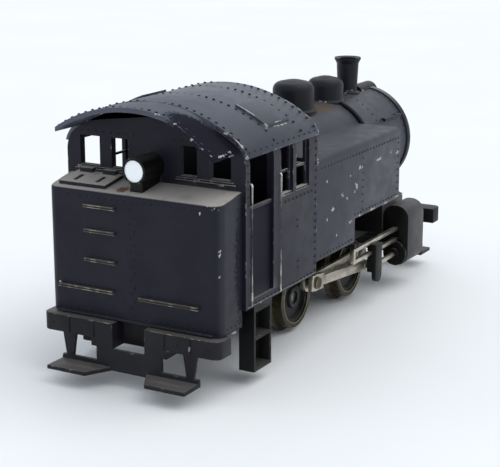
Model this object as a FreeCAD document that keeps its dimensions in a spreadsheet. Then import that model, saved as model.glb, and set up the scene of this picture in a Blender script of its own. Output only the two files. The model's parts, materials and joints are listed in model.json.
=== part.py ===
"""Model steam locomotive, a small side-tank switcher at 1:87, as a FreeCAD document.

Millimetres. +X is the front of the locomotive, +Y its left side, +Z up. The origin is on the
rail plane (the lowest point of the wheel flanges), midway between the two footboards.
"""
import FreeCAD, Part
import math
import os
import re

import Sketcher
from FreeCAD import Placement, Rotation, Vector

doc = FreeCAD.newDocument("SideTankSwitcher")
sheet = doc.addObject("Spreadsheet::Sheet", "dim")

# Driving dimensions. Stations are places along X, levels are heights above the rail plane.
DIMENSIONS = dict(
    # cab and bunker
    bunker_rear=-44.6, cab_rear=-37.7, cab_front=-12.6, cab_half=17.3, bunker_half=16.6,
    bunker_corner=1.8, bunker_low=11.0, bunker_top_rear=32.3, bunker_top_cab=33.4, cab_low=13.8,
    wall=1.3, beyond=1.0, cab_floor_top=15.2, sill=30.3, eave=38.7, pole_clear=0.6,
    door_rear=-36.3, door_front=-28.4, recess=0.7, pane_rear=-25.9, mullion_rear=-21.6,
    mullion_front=-20.5, pane_front=-15.7, rear_sill=34.9, rear_head=39.9, rear_pane_in=5.0,
    rear_pane_mid=8.3, rear_pane_bar=10.6, rear_pane_out=14.6, front_pane_in=12.2,
    front_pane_out=15.4, front_sill=33.6, front_head=38.4,
    # roof
    roof_half=17.8, roof_side=37.4, roof_bend_y=15.71, roof_bend_z=41.5, roof_radius=27.0,
    roof_corner=5.0, lining_bend_y=15.35, lining_bend_z=40.95, lining_radius=28.0,
    lining_corner=4.6, visor_thick=0.8, visor_left_y=14.6, visor_left_z=42.2, visor_crown_y=-4.6,
    visor_crown_z=46.1, visor_bend_y=-9.6, visor_bend_z=44.2, visor_right_y=-15.3,
    visor_right_z=39.9, visor_bend_radius=13.0, roof_hatch_rear=-27.0, roof_hatch_front=-19.2,
    roof_hatch_in=9.2, roof_hatch_out=15.2, roof_hatch_rise=0.5, roof_blank_low=35.7,
    # bunker fittings
    hatch_rear=-43.4, hatch_in=5.8, hatch_out=15.0, hatch_thick=0.6, rung=0.5, rung_in=3.1,
    rung_out=9.2, rung_top=30.05, rung_middle=25.9, rung_low=20.95, grab_left_in=3.6,
    grab_left_out=14.6, grab_left_level=15.9, grab_right_in=-1.3, grab_right_out=-12.7,
    grab_right_level=15.6, lamp_level=36.1, lamp_radius=2.2, lens_radius=1.8, lens_rear=-43.6,
    lens_thick=0.7, lens_set_back=0.15, lamp_foot=1.2, foot_wire=0.224, iron_rear=-36.0,
    iron_front=-26.2, iron_low=14.2, iron_high=34.4, iron_stand=0.65, hinge_inset=1.0,
    hinge_long=2.6, roof_top=60.0,
    # boiler and tanks
    tank_front=23.5, tank_half=17.3, tank_low=15.85, tank_step=3.3, tank_low_front=20.3,
    tank_shoulder=34.3, tank_corner=1.2, boiler_radius=10.3, boiler_level=28.0, boiler_bore=8.4,
    smokebox_front=42.9, cavity_half=15.7, cavity_top=24.5, saddle_rear=27.5, saddle_front=39.8,
    saddle_half=11.4, saddle_waist=7.0, saddle_high=21.5, saddle_flare=6.0, front_lip=0.3,
    steam_dome_x=11.4, steam_dome_radius=4.0, steam_dome_top=44.0, sand_dome_x=25.2,
    sand_dome_radius=3.6, sand_dome_top=43.0, dome_crown=1.6, chimney_x=35.4, chimney_foot=2.0,
    chimney_waist=2.25, chimney_rim=2.7, chimney_top=45.5, chimney_bore=1.7, front_plate=1.7,
    door_radius=6.6, door_bulge=1.1, door_rim=0.3, door_post_y=5.9, front_lens_radius=1.6,
    front_lens_seat=0.3, front_lens_set_back=0.1, front_lamp_radius=2.1, front_lamp_level=37.2,
    front_lamp_rear=38.6, front_lamp_front=46.0, dome_foot=36.5, dome_flange=0.5,
    dome_flange_top=38.1, dome_camber=0.4, chimney_flange_top=38.4, chimney_lip=1.2,
    chimney_edge=0.35, chimney_dish=0.2, sand_pipe_x=24.3, sand_pipe=0.5, sand_pipe_start=4.3,
    rail_wire=0.28, rail_post_inset=1.0, rail_y=9.6, rail_level=33.6, rail_rear=33.0,
    rail_front=41.0,
    # running gear
    axle_level=6.6, rear_axle_x=-6.3, front_axle_x=16.6, tread=5.7, flange=6.6, wheel_back=7.2,
    wheel_face=10.2, flange_width=0.8, centre_radius=4.7, wheel_web_out=9.3, wheel_hub=1.9,
    wheel_hub_face=9.8, wheel_rim_in=3.9, wheel_rim_face=9.9, crank_boss=1.2, crank_boss_face=10.4,
    axle_radius=1.2, bush_radius=1.9, bush_in=4.2, bush_out=6.5, bush_collar=0.5, tyre_edge=0.15,
    tread_fillet=0.3, tread_rise=0.08, flange_root=0.38, flange_round=0.08, flange_back=0.4,
    wheel_draft=0.2, boss_sink=0.2, running_gap=0.05, crank=3.4, crank_angle=56.0, pin_radius=0.7,
    pin_root=8.6, pin_play=0.05, pin_head=0.45, pin_head_radius=1.15, rod_gap=0.06,
    side_rod_in=10.8, side_rod_out=11.8, main_rod_in=12.5, main_rod_out=13.4, side_boss=1.9,
    main_boss=1.6, rod_depth=1.8, rod_web_inset=0.15, main_rod_length=22.19, wrist_eye=1.0,
    wrist_radius=0.5, wrist_gap=0.1, big_end_rear=1.7, big_end_front=2.8, big_end_half=1.45,
    # cylinders and motion
    motion_level=7.4, piston_rod_radius=0.5, piston_y=14.65, piston_rod_length=16.6, socket=0.8,
    crosshead_half=1.5, crosshead_in=14.0, crosshead_out=15.9, crosshead_neck=15.0,
    crosshead_low=4.3, crosshead_drop=1.0, slide_gap=0.08, guide_rear=8.4, guide_thick=0.7,
    guide_out=14.9,
    guide_low=9.9, guide_high=12.1, yoke_long=1.0, cylinder_rear=28.9, cylinder_front=36.9,
    cylinder_end=0.4, cylinder_radius=2.6, cylinder_bore=1.5, chest_high=17.2, chest_in=11.6,
    chest_out=17.2, chest_round=2.6, cover=0.9, cover_radius=2.45, gland_wall=0.7,
    bridge_inset=1.0,
    # chassis
    frame_half=5.0, frame_low=4.6, frame_high=12.8, seat_rear=-33.0, seat_front=-16.4,
    seat_half=6.8, seat_high=7.6, frame_front=27.0, tail_half=4.6, tail_low=8.4, tail_high=11.0,
    tail_web=2.4, keeper_low=3.2, keeper_rear=-14.0, keeper_front=23.0, slot_front=-1.6,
    gear_slot=2.6,
    # worm gear: module 0.3, 28 teeth, single-start worm
    gear_module=0.3, gear_teeth=28, gear_half=1.3, tooth_root_half=0.24, tooth_tip_half=0.096,
    worm_pitch_radius=1.8, worm_rear=-9.6, worm_front=-3.0, worm_turns=5, thread_root=1.275,
    thread_foot=0.21, thread_crest=0.1,
    # motor
    shaft_level=12.6, shaft_radius=0.75, shaft_rear=-33.2, shaft_front=-2.4, core_rear=-27.5,
    core_front=-19.5, core_radius=4.6, coil_radius=3.6, coil_end=0.8, core_hub=1.7, core_web=0.9,
    core_head=3.8, core_web_reach=3.9, core_gap=0.7, pole_in=4.95, pole_out=6.75, pole_rear=-28.0,
    pole_front=-18.0, pole_high=30.0, magnet_low=22.0, bracket_rear=-32.2, bracket_plate=1.0,
    bracket_low=9.4, bracket_high=16.0, bracket_arm=0.9, bearing_radius=1.4, bearing_end=0.3,
    commutator_radius=1.6, commutator_rear=-30.6, commutator_front=-28.6, brush_half=0.6,
    brush_rear=-30.3, brush_front=-28.9, brush_out=4.4, holder_in=2.4, holder_wall=0.5,
    # pilots
    beam_face=46.2, beam_back=42.2, beam_half=17.2, beam_low=7.8, beam_high=10.8, beam_end=1.4,
    front_beam_rise=3.1, draft_low=6.4, draft_out=7.4, pocket_half=3.1, pocket_deep=3.4,
    plate_half=6.4, plate_low=2.6, plate_thick=0.7, riser_high=4.0, footboard_out=50.5,
    footboard_half=13.4, footboard_in=3.4, footboard_cut=2.4, strap_y=11.8, strap_half=0.7,
    strap_top_half=1.3,
    # cab steps
    step_rear=-35.0, step_front=-29.0, step_in=14.4, step_low=2.4, step_plate=0.6,
    # fasteners
    screw_radius=0.9, rear_screw_x=-40.3, front_screw_x=33.6, screw_tip=18.5, bunker_boss_top=20.0,
    boss_wall=1.0, screw_head=1.75, screw_slot=0.2, screw_slot_floor=0.6, motor_screw=0.6,
    motor_screw_x=-23.0, motor_thread=3.0, pole_mid=5.85, keeper_thread=2.5,
    keeper_screw_middle=5.0, keeper_screw_front=21.4, gear_window=4.8, coupler_hole=0.8,
    coupler_hole_rear=-37.0, coupler_hole_front=40.2,
)
for row, (alias, value) in enumerate(DIMENSIONS.items(), start=1):
    sheet.set(f"A{row}", alias)
    sheet.set(f"B{row}", str(value))
    sheet.setAlias(f"B{row}", alias)
doc.recompute()

RIGHT, LEFT = -1, 1
SIDES = {"right": RIGHT, "left": LEFT}


def formula(text):
    """Point every dimension's name in an arithmetic text at its cell in the spreadsheet."""
    return re.sub(r"[a-z_]+[a-z]", lambda word: "dim." + word[0] if word[0] in DIMENSIONS
                  else word[0], str(text))


def number(text):
    """The value of an arithmetic text of dimension names."""
    return float(sheet.evalExpression(formula(text)))


def place(item, **bases):
    """Bind an object's position to formulas, one for each of x, y and z."""
    for direction, text in bases.items():
        item.setExpression(".Placement.Base." + direction, formula(text))


def block(name, x, y, z):
    """A box between two faces along each axis, each pair a low and a high formula."""
    item = doc.addObject("Part::Box", name)
    for side, (low, high) in zip(("Length", "Width", "Height"), (x, y, z)):
        item.setExpression(side, formula(f"({high}) - ({low})"))
    place(item, x=x[0], y=y[0], z=z[0])
    return item


TURNS = {"x": Rotation(Vector(0, 1, 0), 90), "y": Rotation(Vector(1, 0, 0), -90),
         "z": Rotation()}


def cylinder(name, axis, radius, span, centre):
    """A round bar along an axis; its centre is given in the other two directions."""
    item = doc.addObject("Part::Cylinder", name)
    item.setExpression("Radius", formula(radius))
    item.setExpression("Height", formula(f"({span[1]}) - ({span[0]})"))
    item.Placement = Placement(Vector(), TURNS[axis])
    others = [direction for direction in "xyz" if direction != axis]
    place(item, **{axis: span[0], others[0]: centre[0], others[1]: centre[1]})
    return item


def fuse(name, *items):
    """One solid from touching pieces."""
    item = doc.addObject("Part::MultiFuse", name)
    item.Shapes = list(items)
    item.Refine = True
    return item


def cut(name, base, *tools):
    """A piece with other pieces taken out of it."""
    item = doc.addObject("Part::Cut", name)
    item.Base = base
    item.Tool = tools[0] if len(tools) == 1 else group(name + "_tools", *tools)
    item.Refine = True
    return item


def common(name, base, tool):
    """What two pieces share."""
    item = doc.addObject("Part::Common", name)
    item.Base = base
    item.Tool = tool
    return item


def group(name, *items):
    """Separate solids kept together."""
    item = doc.addObject("Part::Compound", name)
    item.Links = list(items)
    return item


def across(side, inner, outer):
    """A low and a high formula along Y for a piece on the right or the left."""
    return (inner, outer) if side == LEFT else (f"-({outer})", f"-({inner})")


def arc_between(start, end, radius, hollow):
    """The short arc from start to end, bulging to the right of the way, or left if hollow."""
    chord = end - start
    sagitta = radius - math.sqrt(radius ** 2 - chord.Length ** 2 / 4)
    bulge = Vector(chord.y, -chord.x, 0).normalize() * (-sagitta if hollow else sagitta)
    return Part.Arc(start, start + chord * 0.5 + bulge, end)


def draw(body, plane, name, outline, offset="0"):
    """A closed sketch in a body, drawn anticlockwise on one of its origin planes.

    Each corner is (across, up), or (across, up, radius) where an arc leads to the next corner,
    or (across, up, radius, "hollow") where that arc bends inwards.
    """
    sketch = body.newObject("Sketcher::SketchObject", name)
    origin_plane = next(item for item in body.Origin.OriginFeatures if item.Role == plane)
    sketch.AttachmentSupport = [(origin_plane, "")]
    sketch.MapMode = "FlatFace"
    sketch.setExpression(".AttachmentOffset.Base.z", formula(offset))
    return trace(sketch, outline)


def trace(sketch, outline):
    """Draw a closed outline in a sketch, every corner and arc bound to its formulas."""
    corners = [Vector(number(corner[0]), number(corner[1]), 0) for corner in outline]
    starts = []
    for index, corner in enumerate(outline):
        start, end = corners[index], corners[(index + 1) % len(corners)]
        hollow = len(corner) > 3
        if len(corner) > 2:
            sketch.addGeometry(arc_between(start, end, number(corner[2]), hollow), False)
        else:
            sketch.addGeometry(Part.LineSegment(start, end), False)
        starts.append(2 if hollow else 1)

    def bind(constraint, text):
        index = sketch.addConstraint(constraint)
        sketch.setExpression(f"Constraints[{index}]", formula(text))

    for index, corner in enumerate(outline):
        before = index - 1 if index else len(outline) - 1
        sketch.addConstraint(Sketcher.Constraint("Coincident", before, 3 - starts[before],
                                                 index, starts[index]))
        point = corners[index]
        bind(Sketcher.Constraint("DistanceX", -1, 1, index, starts[index], point.x), corner[0])
        bind(Sketcher.Constraint("DistanceY", -1, 1, index, starts[index], point.y), corner[1])
        if len(corner) > 2:
            bind(Sketcher.Constraint("Radius", index, number(corner[2])), corner[2])
    return sketch


def plate(name, plane, span, outline):
    """An outline padded between two places along its plane's normal."""
    body = doc.addObject("PartDesign::Body", name)
    low, high = span
    offset = f"-({high})" if plane == "XZ_Plane" else low
    sketch = draw(body, plane, name + "_outline", outline, offset)
    pad = body.newObject("PartDesign::Pad", name + "_pad")
    pad.Profile = sketch
    pad.setExpression("Length", formula(f"({high}) - ({low})"))
    return body


def turned(name, plane, axis, outline, mirrored=False, **centre):
    """A piece of revolution about its sketch's H_Axis or V_Axis, half turned if mirrored."""
    body = doc.addObject("PartDesign::Body", name)
    sketch = draw(body, plane, name + "_outline", outline)
    revolution = body.newObject("PartDesign::Revolution", name + "_turn")
    revolution.Profile = sketch
    revolution.ReferenceAxis = (sketch, [axis])
    revolution.Angle = 360
    if mirrored:
        body.Placement = Placement(Vector(), Rotation(Vector(0, 0, 1), 180))
    place(body, **centre)
    return body


NODES = []


def node(name, item):
    """Name a finished piece, which is written to a file of that name."""
    item.Label = name
    NODES.append(item)
    return item


# Cab, bunker and roof -----------------------------------------------------------------------

def cab_outline(low):
    """The cab's cross-section up to the underside of the roof."""
    return [("-cab_half", low), ("cab_half", low), ("cab_half", "roof_side", "lining_corner"),
            ("lining_bend_y", "lining_bend_z", "lining_radius"),
            ("-lining_bend_y", "lining_bend_z", "lining_corner"), ("-cab_half", "roof_side")]


def cab_openings():
    """Side doors and windows, end windows, door recesses and the hole over the motor."""
    tools = [
        block("cab_inside", ("cab_rear + wall", "cab_front - wall"),
              ("-(cab_half - wall)", "cab_half - wall"), ("cab_floor_top", "roof_top")),
        block("cab_floor_hole", ("seat_rear - beyond", "cab_front"),
              ("-(pole_out + pole_clear)", "pole_out + pole_clear"), ("cab_low", "cab_floor_top")),
    ]
    for hand, side in SIDES.items():
        through = across(side, "cab_half - wall", "cab_half + beyond")
        panes = {"door": ("door_rear", "door_front"), "rear_pane": ("pane_rear", "mullion_rear"),
                 "front_pane": ("mullion_front", "pane_front")}
        for name, span in panes.items():
            tools.append(block(f"{name}_{hand}", span, through, ("sill", "eave")))
        tools.append(block(f"door_recess_{hand}", ("door_rear", "door_front"),
                           across(side, "cab_half - recess", "cab_half + beyond"),
                           ("cab_floor_top", "sill")))
        rear_wall = ("cab_rear", "cab_rear + wall")
        for name, span in {"inner": ("rear_pane_in", "rear_pane_mid"),
                           "outer": ("rear_pane_bar", "rear_pane_out")}.items():
            tools.append(block(f"rear_window_{name}_{hand}", rear_wall, across(side, *span),
                               ("rear_sill", "rear_head")))
        tools.append(block(f"front_window_{hand}", ("cab_front - wall", "cab_front"),
                           across(side, "front_pane_in", "front_pane_out"),
                           ("front_sill", "front_head")))
    return tools


def bunker():
    """The coal bunker: rounded rear corners and a deck that rises to the cab."""
    blank = plate("bunker_blank", "XY_Plane", ("bunker_low", "bunker_top_cab"), [
        ("bunker_rear", "-(bunker_half - bunker_corner)", "bunker_corner"),
        ("bunker_rear + bunker_corner", "-bunker_half"), ("cab_rear", "-bunker_half"),
        ("cab_rear", "bunker_half"), ("bunker_rear + bunker_corner", "bunker_half",
                                      "bunker_corner"),
        ("bunker_rear", "bunker_half - bunker_corner")])
    deck = plate("bunker_deck_cut", "XZ_Plane", ("-cab_half", "cab_half"), [
        ("bunker_rear", "bunker_top_rear"), ("cab_rear", "bunker_top_cab"),
        ("bunker_rear", "bunker_top_cab")])
    hollow = block("bunker_hollow", ("bunker_rear + wall", "cab_rear - wall"),
                   ("-(bunker_half - wall)", "bunker_half - wall"),
                   ("bunker_low", "bunker_top_rear - 2*wall"))
    screw_boss = cylinder("bunker_boss", "z", "screw_radius + boss_wall",
                          ("bunker_low", "bunker_boss_top"), ("rear_screw_x", "0"))
    return fuse("bunker", cut("bunker_shell", blank, deck, hollow),
                common("bunker_boss_trimmed", screw_boss, blank))


def cab_and_bunker():
    cab_blank = plate("cab_blank", "YZ_Plane", ("cab_rear", "cab_front"), cab_outline("cab_low"))
    cab = cut("cab_walls", cab_blank, *cab_openings())
    screw_hole = cylinder("bunker_screw_hole", "z", "screw_radius", ("bunker_low", "screw_tip"),
                          ("rear_screw_x", "0"))
    node("cab_and_bunker", cut("cab_casting", fuse("cab_with_bunker", cab, bunker()), screw_hole))


def cab_roof():
    """The arched roof, with a lower visor over the bunker whose right wing droops."""
    shell = plate("roof_blank", "YZ_Plane", ("cab_rear", "cab_front"), [
        ("-roof_half", "roof_blank_low"), ("roof_half", "roof_blank_low"),
        ("roof_half", "roof_side", "roof_corner"), ("roof_bend_y", "roof_bend_z", "roof_radius"),
        ("-roof_bend_y", "roof_bend_z", "roof_corner"), ("-roof_half", "roof_side")])
    lining = plate("roof_lining", "YZ_Plane", ("cab_rear", "cab_front"), cab_outline("cab_low"))
    below_eave = block("below_eave", ("cab_rear", "cab_front"),
                       ("-cab_half - beyond", "cab_half + beyond"),
                       ("roof_blank_low", "eave"))
    visor = plate("roof_visor", "YZ_Plane", ("bunker_rear", "cab_rear"), [
        ("visor_right_y", "visor_right_z - visor_thick"),
        ("visor_bend_y", "visor_bend_z - visor_thick", "visor_bend_radius", "hollow"),
        ("visor_crown_y", "visor_crown_z - visor_thick", "roof_radius", "hollow"),
        ("visor_left_y", "visor_left_z - visor_thick"),
        ("visor_left_y", "visor_left_z", "roof_radius"),
        ("visor_crown_y", "visor_crown_z", "visor_bend_radius"),
        ("visor_bend_y", "visor_bend_z"), ("visor_right_y", "visor_right_z")])
    shell = cut("roof_shell", shell, lining, below_eave)
    node("cab_roof", fuse("roof_with_visor", shell, visor))
    covers = []
    for hand, side in SIDES.items():
        raised = plate(f"roof_hatch_blank_{hand}", "YZ_Plane",
                       ("roof_hatch_rear", "roof_hatch_front"), [
            ("-roof_bend_y", "roof_side"), ("roof_bend_y", "roof_side"),
            ("roof_bend_y", "roof_bend_z + roof_hatch_rise", "roof_radius"),
            ("-roof_bend_y", "roof_bend_z + roof_hatch_rise")])
        window = block(f"roof_hatch_limits_{hand}", ("roof_hatch_rear", "roof_hatch_front"),
                       across(side, "roof_hatch_in", "roof_hatch_out"), ("roof_side", "roof_top"))
        under = plate(f"roof_under_hatch_{hand}", "YZ_Plane",
                      ("roof_hatch_rear", "roof_hatch_front"), [
            ("-roof_bend_y", "roof_side"), ("roof_bend_y", "roof_side"),
            ("roof_bend_y", "roof_bend_z", "roof_radius"), ("-roof_bend_y", "roof_bend_z")])
        covers.append(cut(f"roof_hatch_cover_{hand}",
                          common(f"roof_hatch_strip_{hand}", raised, window), under))
    node("roof_hatches", group("hatch_covers", *covers))


def deck_level(station):
    """The height of the bunker's sloping deck at a place along X."""
    rise = "(bunker_top_cab - bunker_top_rear)/(cab_rear - bunker_rear)"
    return f"bunker_top_rear + {rise}*({station} - bunker_rear)"


def bunker_fittings():
    """Filler hatch, rungs, rear headlight and the cab's grab irons."""
    rear_level = deck_level("hatch_rear")
    lid = plate("hatch_blank", "XZ_Plane", ("hatch_in", "hatch_out"), [
        ("hatch_rear", rear_level), ("cab_rear", "bunker_top_cab"),
        ("cab_rear", "bunker_top_cab + hatch_thick"),
        ("hatch_rear", f"{rear_level} + hatch_thick")])
    hinges = [block(f"hatch_hinge_{index}", ("cab_rear - 2*hatch_thick", "cab_rear"),
                    (start, f"{start} + hinge_long"),
                    ("bunker_top_cab", "bunker_top_cab + 2*hatch_thick"))
              for index, start in enumerate(("hatch_in + hinge_inset",
                                             "hatch_out - hinge_inset - hinge_long"))]
    node("bunker_hatch", fuse("hatch_with_hinges", lid, *hinges))
    rungs = {"top": ("rung_in", "rung_out", "rung_top"),
             "middle": ("rung_in", "rung_out", "rung_middle"),
             "low": ("rung_in", "rung_out", "rung_low"),
             "grab_left": ("grab_left_in", "grab_left_out", "grab_left_level"),
             "grab_right": ("grab_right_out", "grab_right_in", "grab_right_level")}
    node("bunker_rungs", group("rungs", *[
        block("rung_" + name, ("bunker_rear - rung", "bunker_rear"), (low, high),
              (f"{level} - rung", level)) for name, (low, high, level) in rungs.items()]))
    barrel = cylinder("lamp_barrel", "x", "lamp_radius", ("lens_rear", "cab_rear"),
                      ("0", "lamp_level"))
    foot = block("lamp_foot_block", ("lens_rear + lens_thick", "cab_rear"),
                 ("-lamp_foot", "lamp_foot"), ("bunker_top_rear - beyond", "lamp_level"))
    deck = plate("lamp_deck", "XZ_Plane", ("-lamp_radius", "lamp_radius"), [
        ("bunker_rear", "bunker_low"), ("cab_rear", "bunker_low"), ("cab_rear", "bunker_top_cab"),
        ("bunker_rear", "bunker_top_rear")])
    lens_seat = cylinder("lens_seat", "x", "lens_radius", ("lens_rear", "lens_rear + lens_thick"),
                         ("0", "lamp_level"))
    node("rear_headlight", cut("headlight_casting", fuse("lamp_with_foot", barrel, foot),
                               deck, lens_seat))
    node("rear_headlight_lens",
         cylinder("lens_disc", "x", "lens_radius",
                  ("lens_rear + lens_set_back", "lens_rear + lens_thick"), ("0", "lamp_level")))
    irons = []
    for hand, side in SIDES.items():
        for end, station in {"rear": "iron_rear", "front": "iron_front"}.items():
            name = f"iron_{end}_{hand}"
            wire = cylinder(name + "_wire", "z", "rail_wire",
                            ("iron_low - rail_wire", "iron_high + rail_wire"),
                            (station, f"{side}*(cab_half + iron_stand)"))
            feet = [cylinder(f"{name}_foot_{level}", "y", "foot_wire",
                             across(side, "cab_half", "cab_half + iron_stand"), (station, level))
                    for level in ("iron_low", "iron_high")]
            irons.append(fuse(name, wire, *feet))
    node("cab_grab_irons", group("grab_irons", *irons))


def cab_steps():
    """A box step with two treads hangs below each cab door."""
    boxes = []
    for hand, side in SIDES.items():
        whole = block(f"step_blank_{hand}", ("step_rear", "step_front"),
                      across(side, "step_in", "cab_half"), ("step_low", "cab_low"))
        middle = "(step_low + cab_low)/2"
        gaps = [block(f"step_gap_{name}_{hand}", ("step_rear + step_plate",
                                                  "step_front - step_plate"),
                      across(side, "step_in + step_plate", "cab_half + beyond"), span)
                for name, span in {
                    "lower": ("step_low + step_plate", f"{middle} - step_plate/2"),
                    "upper": (f"{middle} + step_plate/2", "cab_low - 2*step_plate")}.items()]
        boxes.append(cut(f"step_box_{hand}", whole, *gaps))
    node("cab_steps", group("step_boxes", *boxes))


# Boiler, tanks and their fittings ------------------------------------------------------------

def boiler_round(name, radius="boiler_radius", rear="cab_front", front="smokebox_front"):
    """A cylinder on the boiler's own centre line."""
    return cylinder(name, "x", radius, (rear, front), ("0", "boiler_level"))


def boiler_and_tanks():
    tanks = plate("tank_blank", "YZ_Plane", ("cab_front", "tank_front"), [
        ("-tank_half", "tank_low"), ("tank_half", "tank_low"),
        ("tank_half", "tank_shoulder - tank_corner", "tank_corner"),
        ("tank_half - tank_corner", "tank_shoulder"),
        ("-(tank_half - tank_corner)", "tank_shoulder", "tank_corner"),
        ("-tank_half", "tank_shoulder - tank_corner")])
    saddle = plate("saddle", "YZ_Plane", ("saddle_rear", "saddle_front"), [
        ("-saddle_half", "chest_high"), ("saddle_half", "chest_high", "saddle_flare", "hollow"),
        ("saddle_waist", "saddle_high"), ("-saddle_waist", "saddle_high", "saddle_flare",
                                          "hollow")])
    step = block("tank_front_step", ("tank_step", "tank_front"), ("-tank_half", "tank_half"),
                 ("tank_low", "tank_low_front"))
    cavity = block("tank_cavity", ("cab_front", "tank_front - wall"),
                   ("-cavity_half", "cavity_half"), ("tank_low", "cavity_top"))
    bore = boiler_round("boiler_bore_cut", "boiler_bore", front="smokebox_front - wall")
    screw_hole = cylinder("saddle_screw_hole", "z", "screw_radius", ("chest_high", "screw_tip"),
                          ("front_screw_x", "0"))
    whole = fuse("boiler_blank", tanks, boiler_round("boiler_barrel"), saddle)
    saddle_core = block("saddle_core", ("saddle_rear", "saddle_front"),
                        ("-saddle_waist", "saddle_waist"), ("chest_high", "saddle_high"))
    shell = cut("boiler_shell", whole, step, cavity, bore)
    node("boiler_and_tanks",
         cut("boiler_casting", fuse("boiler_on_saddle", shell, saddle_core), screw_hole))


def domes_and_chimney():
    """Fittings on top of the boiler, each with its foot cut to the boiler's curve."""
    for name in ("steam_dome", "sand_dome"):
        radius, top = name + "_radius", name + "_top"
        flat = f"{radius} - dome_crown"
        blank = turned(name + "_blank", "XZ_Plane", "V_Axis", [
            ("0", "dome_foot"), (f"{radius} + dome_flange", "dome_foot"),
            (f"{radius} + dome_flange", "dome_flange_top", "dome_flange", "hollow"),
            (radius, "dome_flange_top + dome_flange"),
            (radius, f"{top} - dome_crown - dome_camber", "dome_crown"),
            (flat, f"{top} - dome_camber", f"(({flat})^2 + dome_camber^2)/(2*dome_camber)"),
            ("0", top)], x=name + "_x")
        node(name, cut(name + "_piece", blank, boiler_round(name + "_seat")))
    chimney = turned("chimney_blank", "XZ_Plane", "V_Axis", [
        ("chimney_bore", "dome_foot"), ("chimney_foot + dome_flange", "dome_foot"),
        ("chimney_foot + dome_flange", "chimney_flange_top", "dome_flange", "hollow"),
        ("chimney_foot", "chimney_flange_top + dome_flange"),
        ("chimney_waist", "chimney_top - chimney_lip"),
        ("chimney_rim", "chimney_top - chimney_edge"), ("chimney_rim", "chimney_top"),
        ("chimney_bore", "chimney_top - chimney_dish")], x="chimney_x")
    node("chimney", cut("chimney_piece", chimney, boiler_round("chimney_seat")))


def smokebox_fittings():
    """The smokebox front, its domed door, the front lamp, side rails and sand pipes."""
    plate_disc = boiler_round("front_disc", "boiler_radius + front_lip", "smokebox_front",
                              "smokebox_front + front_plate")
    node("smokebox_front", plate_disc)
    door_face = "smokebox_front + front_plate"
    door = turned("door_dome", "XZ_Plane", "H_Axis", [
        ("0", "0"),
        ("door_bulge", "0",
         "(door_radius^2 + (door_bulge - door_rim)^2)/(2*(door_bulge - door_rim))"),
        ("door_rim", "door_radius"), ("0", "door_radius")], x=door_face, z="boiler_level")
    hinge_post = cylinder("door_hinge_post", "z", "rail_wire",
                          ("boiler_level - door_radius/2", "boiler_level + door_radius/2"),
                          (f"{door_face} + rail_wire", "door_post_y"))
    handle = boiler_round("door_handle", "2*rail_wire", f"{door_face} + door_bulge/2",
                          f"{door_face} + door_bulge + 2*rail_wire")
    node("smokebox_door", fuse("door_with_handle", door, hinge_post, handle))
    lamp = cylinder("front_lamp_barrel", "x", "front_lamp_radius",
                    ("front_lamp_rear", "front_lamp_front"), ("0", "front_lamp_level"))
    lens_seat = cylinder("front_lens_seat", "x", "front_lens_radius",
                         ("front_lamp_front - front_lens_seat", "front_lamp_front"),
                         ("0", "front_lamp_level"))
    node("front_headlight", cut("front_lamp", lamp, boiler_round("lamp_seat"),
                                boiler_round("lamp_plate_seat", "boiler_radius + front_lip",
                                             "smokebox_front", door_face), lens_seat))
    node("front_headlight_lens",
         cylinder("front_lens_disc", "x", "front_lens_radius",
                  ("front_lamp_front - front_lens_seat", "front_lamp_front - front_lens_set_back"),
                  ("0", "front_lamp_level")))
    rails = []
    pipes = []
    for hand, side in SIDES.items():
        wire = cylinder(f"rail_wire_{hand}", "x", "rail_wire", ("rail_rear", "rail_front"),
                        (f"{side}*rail_y", "rail_level"))
        posts = [cylinder(f"rail_post_{hand}_{end}", "y", "foot_wire",
                          across(side, "boiler_bore", "rail_y"), (station, "rail_level"))
                 for end, station in {"rear": "rail_rear + rail_post_inset",
                                         "front": "rail_front - rail_post_inset"}.items()]
        rails.append(cut(f"rail_{hand}", fuse(f"rail_with_posts_{hand}", wire, *posts),
                         boiler_round(f"rail_seat_{hand}")))
        ring = doc.addObject("Part::Torus", f"sand_pipe_ring_{hand}")
        ring.setExpression("Radius1", formula("boiler_radius + 0.6*sand_pipe"))
        ring.setExpression("Radius2", formula("sand_pipe"))
        ring.Placement = Placement(Vector(), TURNS["x"])
        place(ring, x="sand_pipe_x", z="boiler_level")
        reach = block(f"sand_pipe_reach_{hand}", ("sand_pipe_x - beyond", "sand_pipe_x + beyond"),
                      across(side, "sand_pipe_start", "boiler_radius + 2*beyond"),
                      ("tank_low_front", "dome_foot + 3*beyond"))
        pipes.append(cut(f"sand_pipe_piece_{hand}", common(f"sand_pipe_arc_{hand}", ring, reach),
                         boiler_round(f"sand_pipe_seat_{hand}")))
    node("smokebox_rails", group("side_rails", *rails))
    node("sand_pipes", group("pipes", *pipes))


# Chassis -------------------------------------------------------------------------------------

AXLES = {"rear": "rear_axle_x", "front": "front_axle_x"}
KEEPER_SCREWS = {"middle": "keeper_screw_middle", "front": "keeper_screw_front"}


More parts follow.
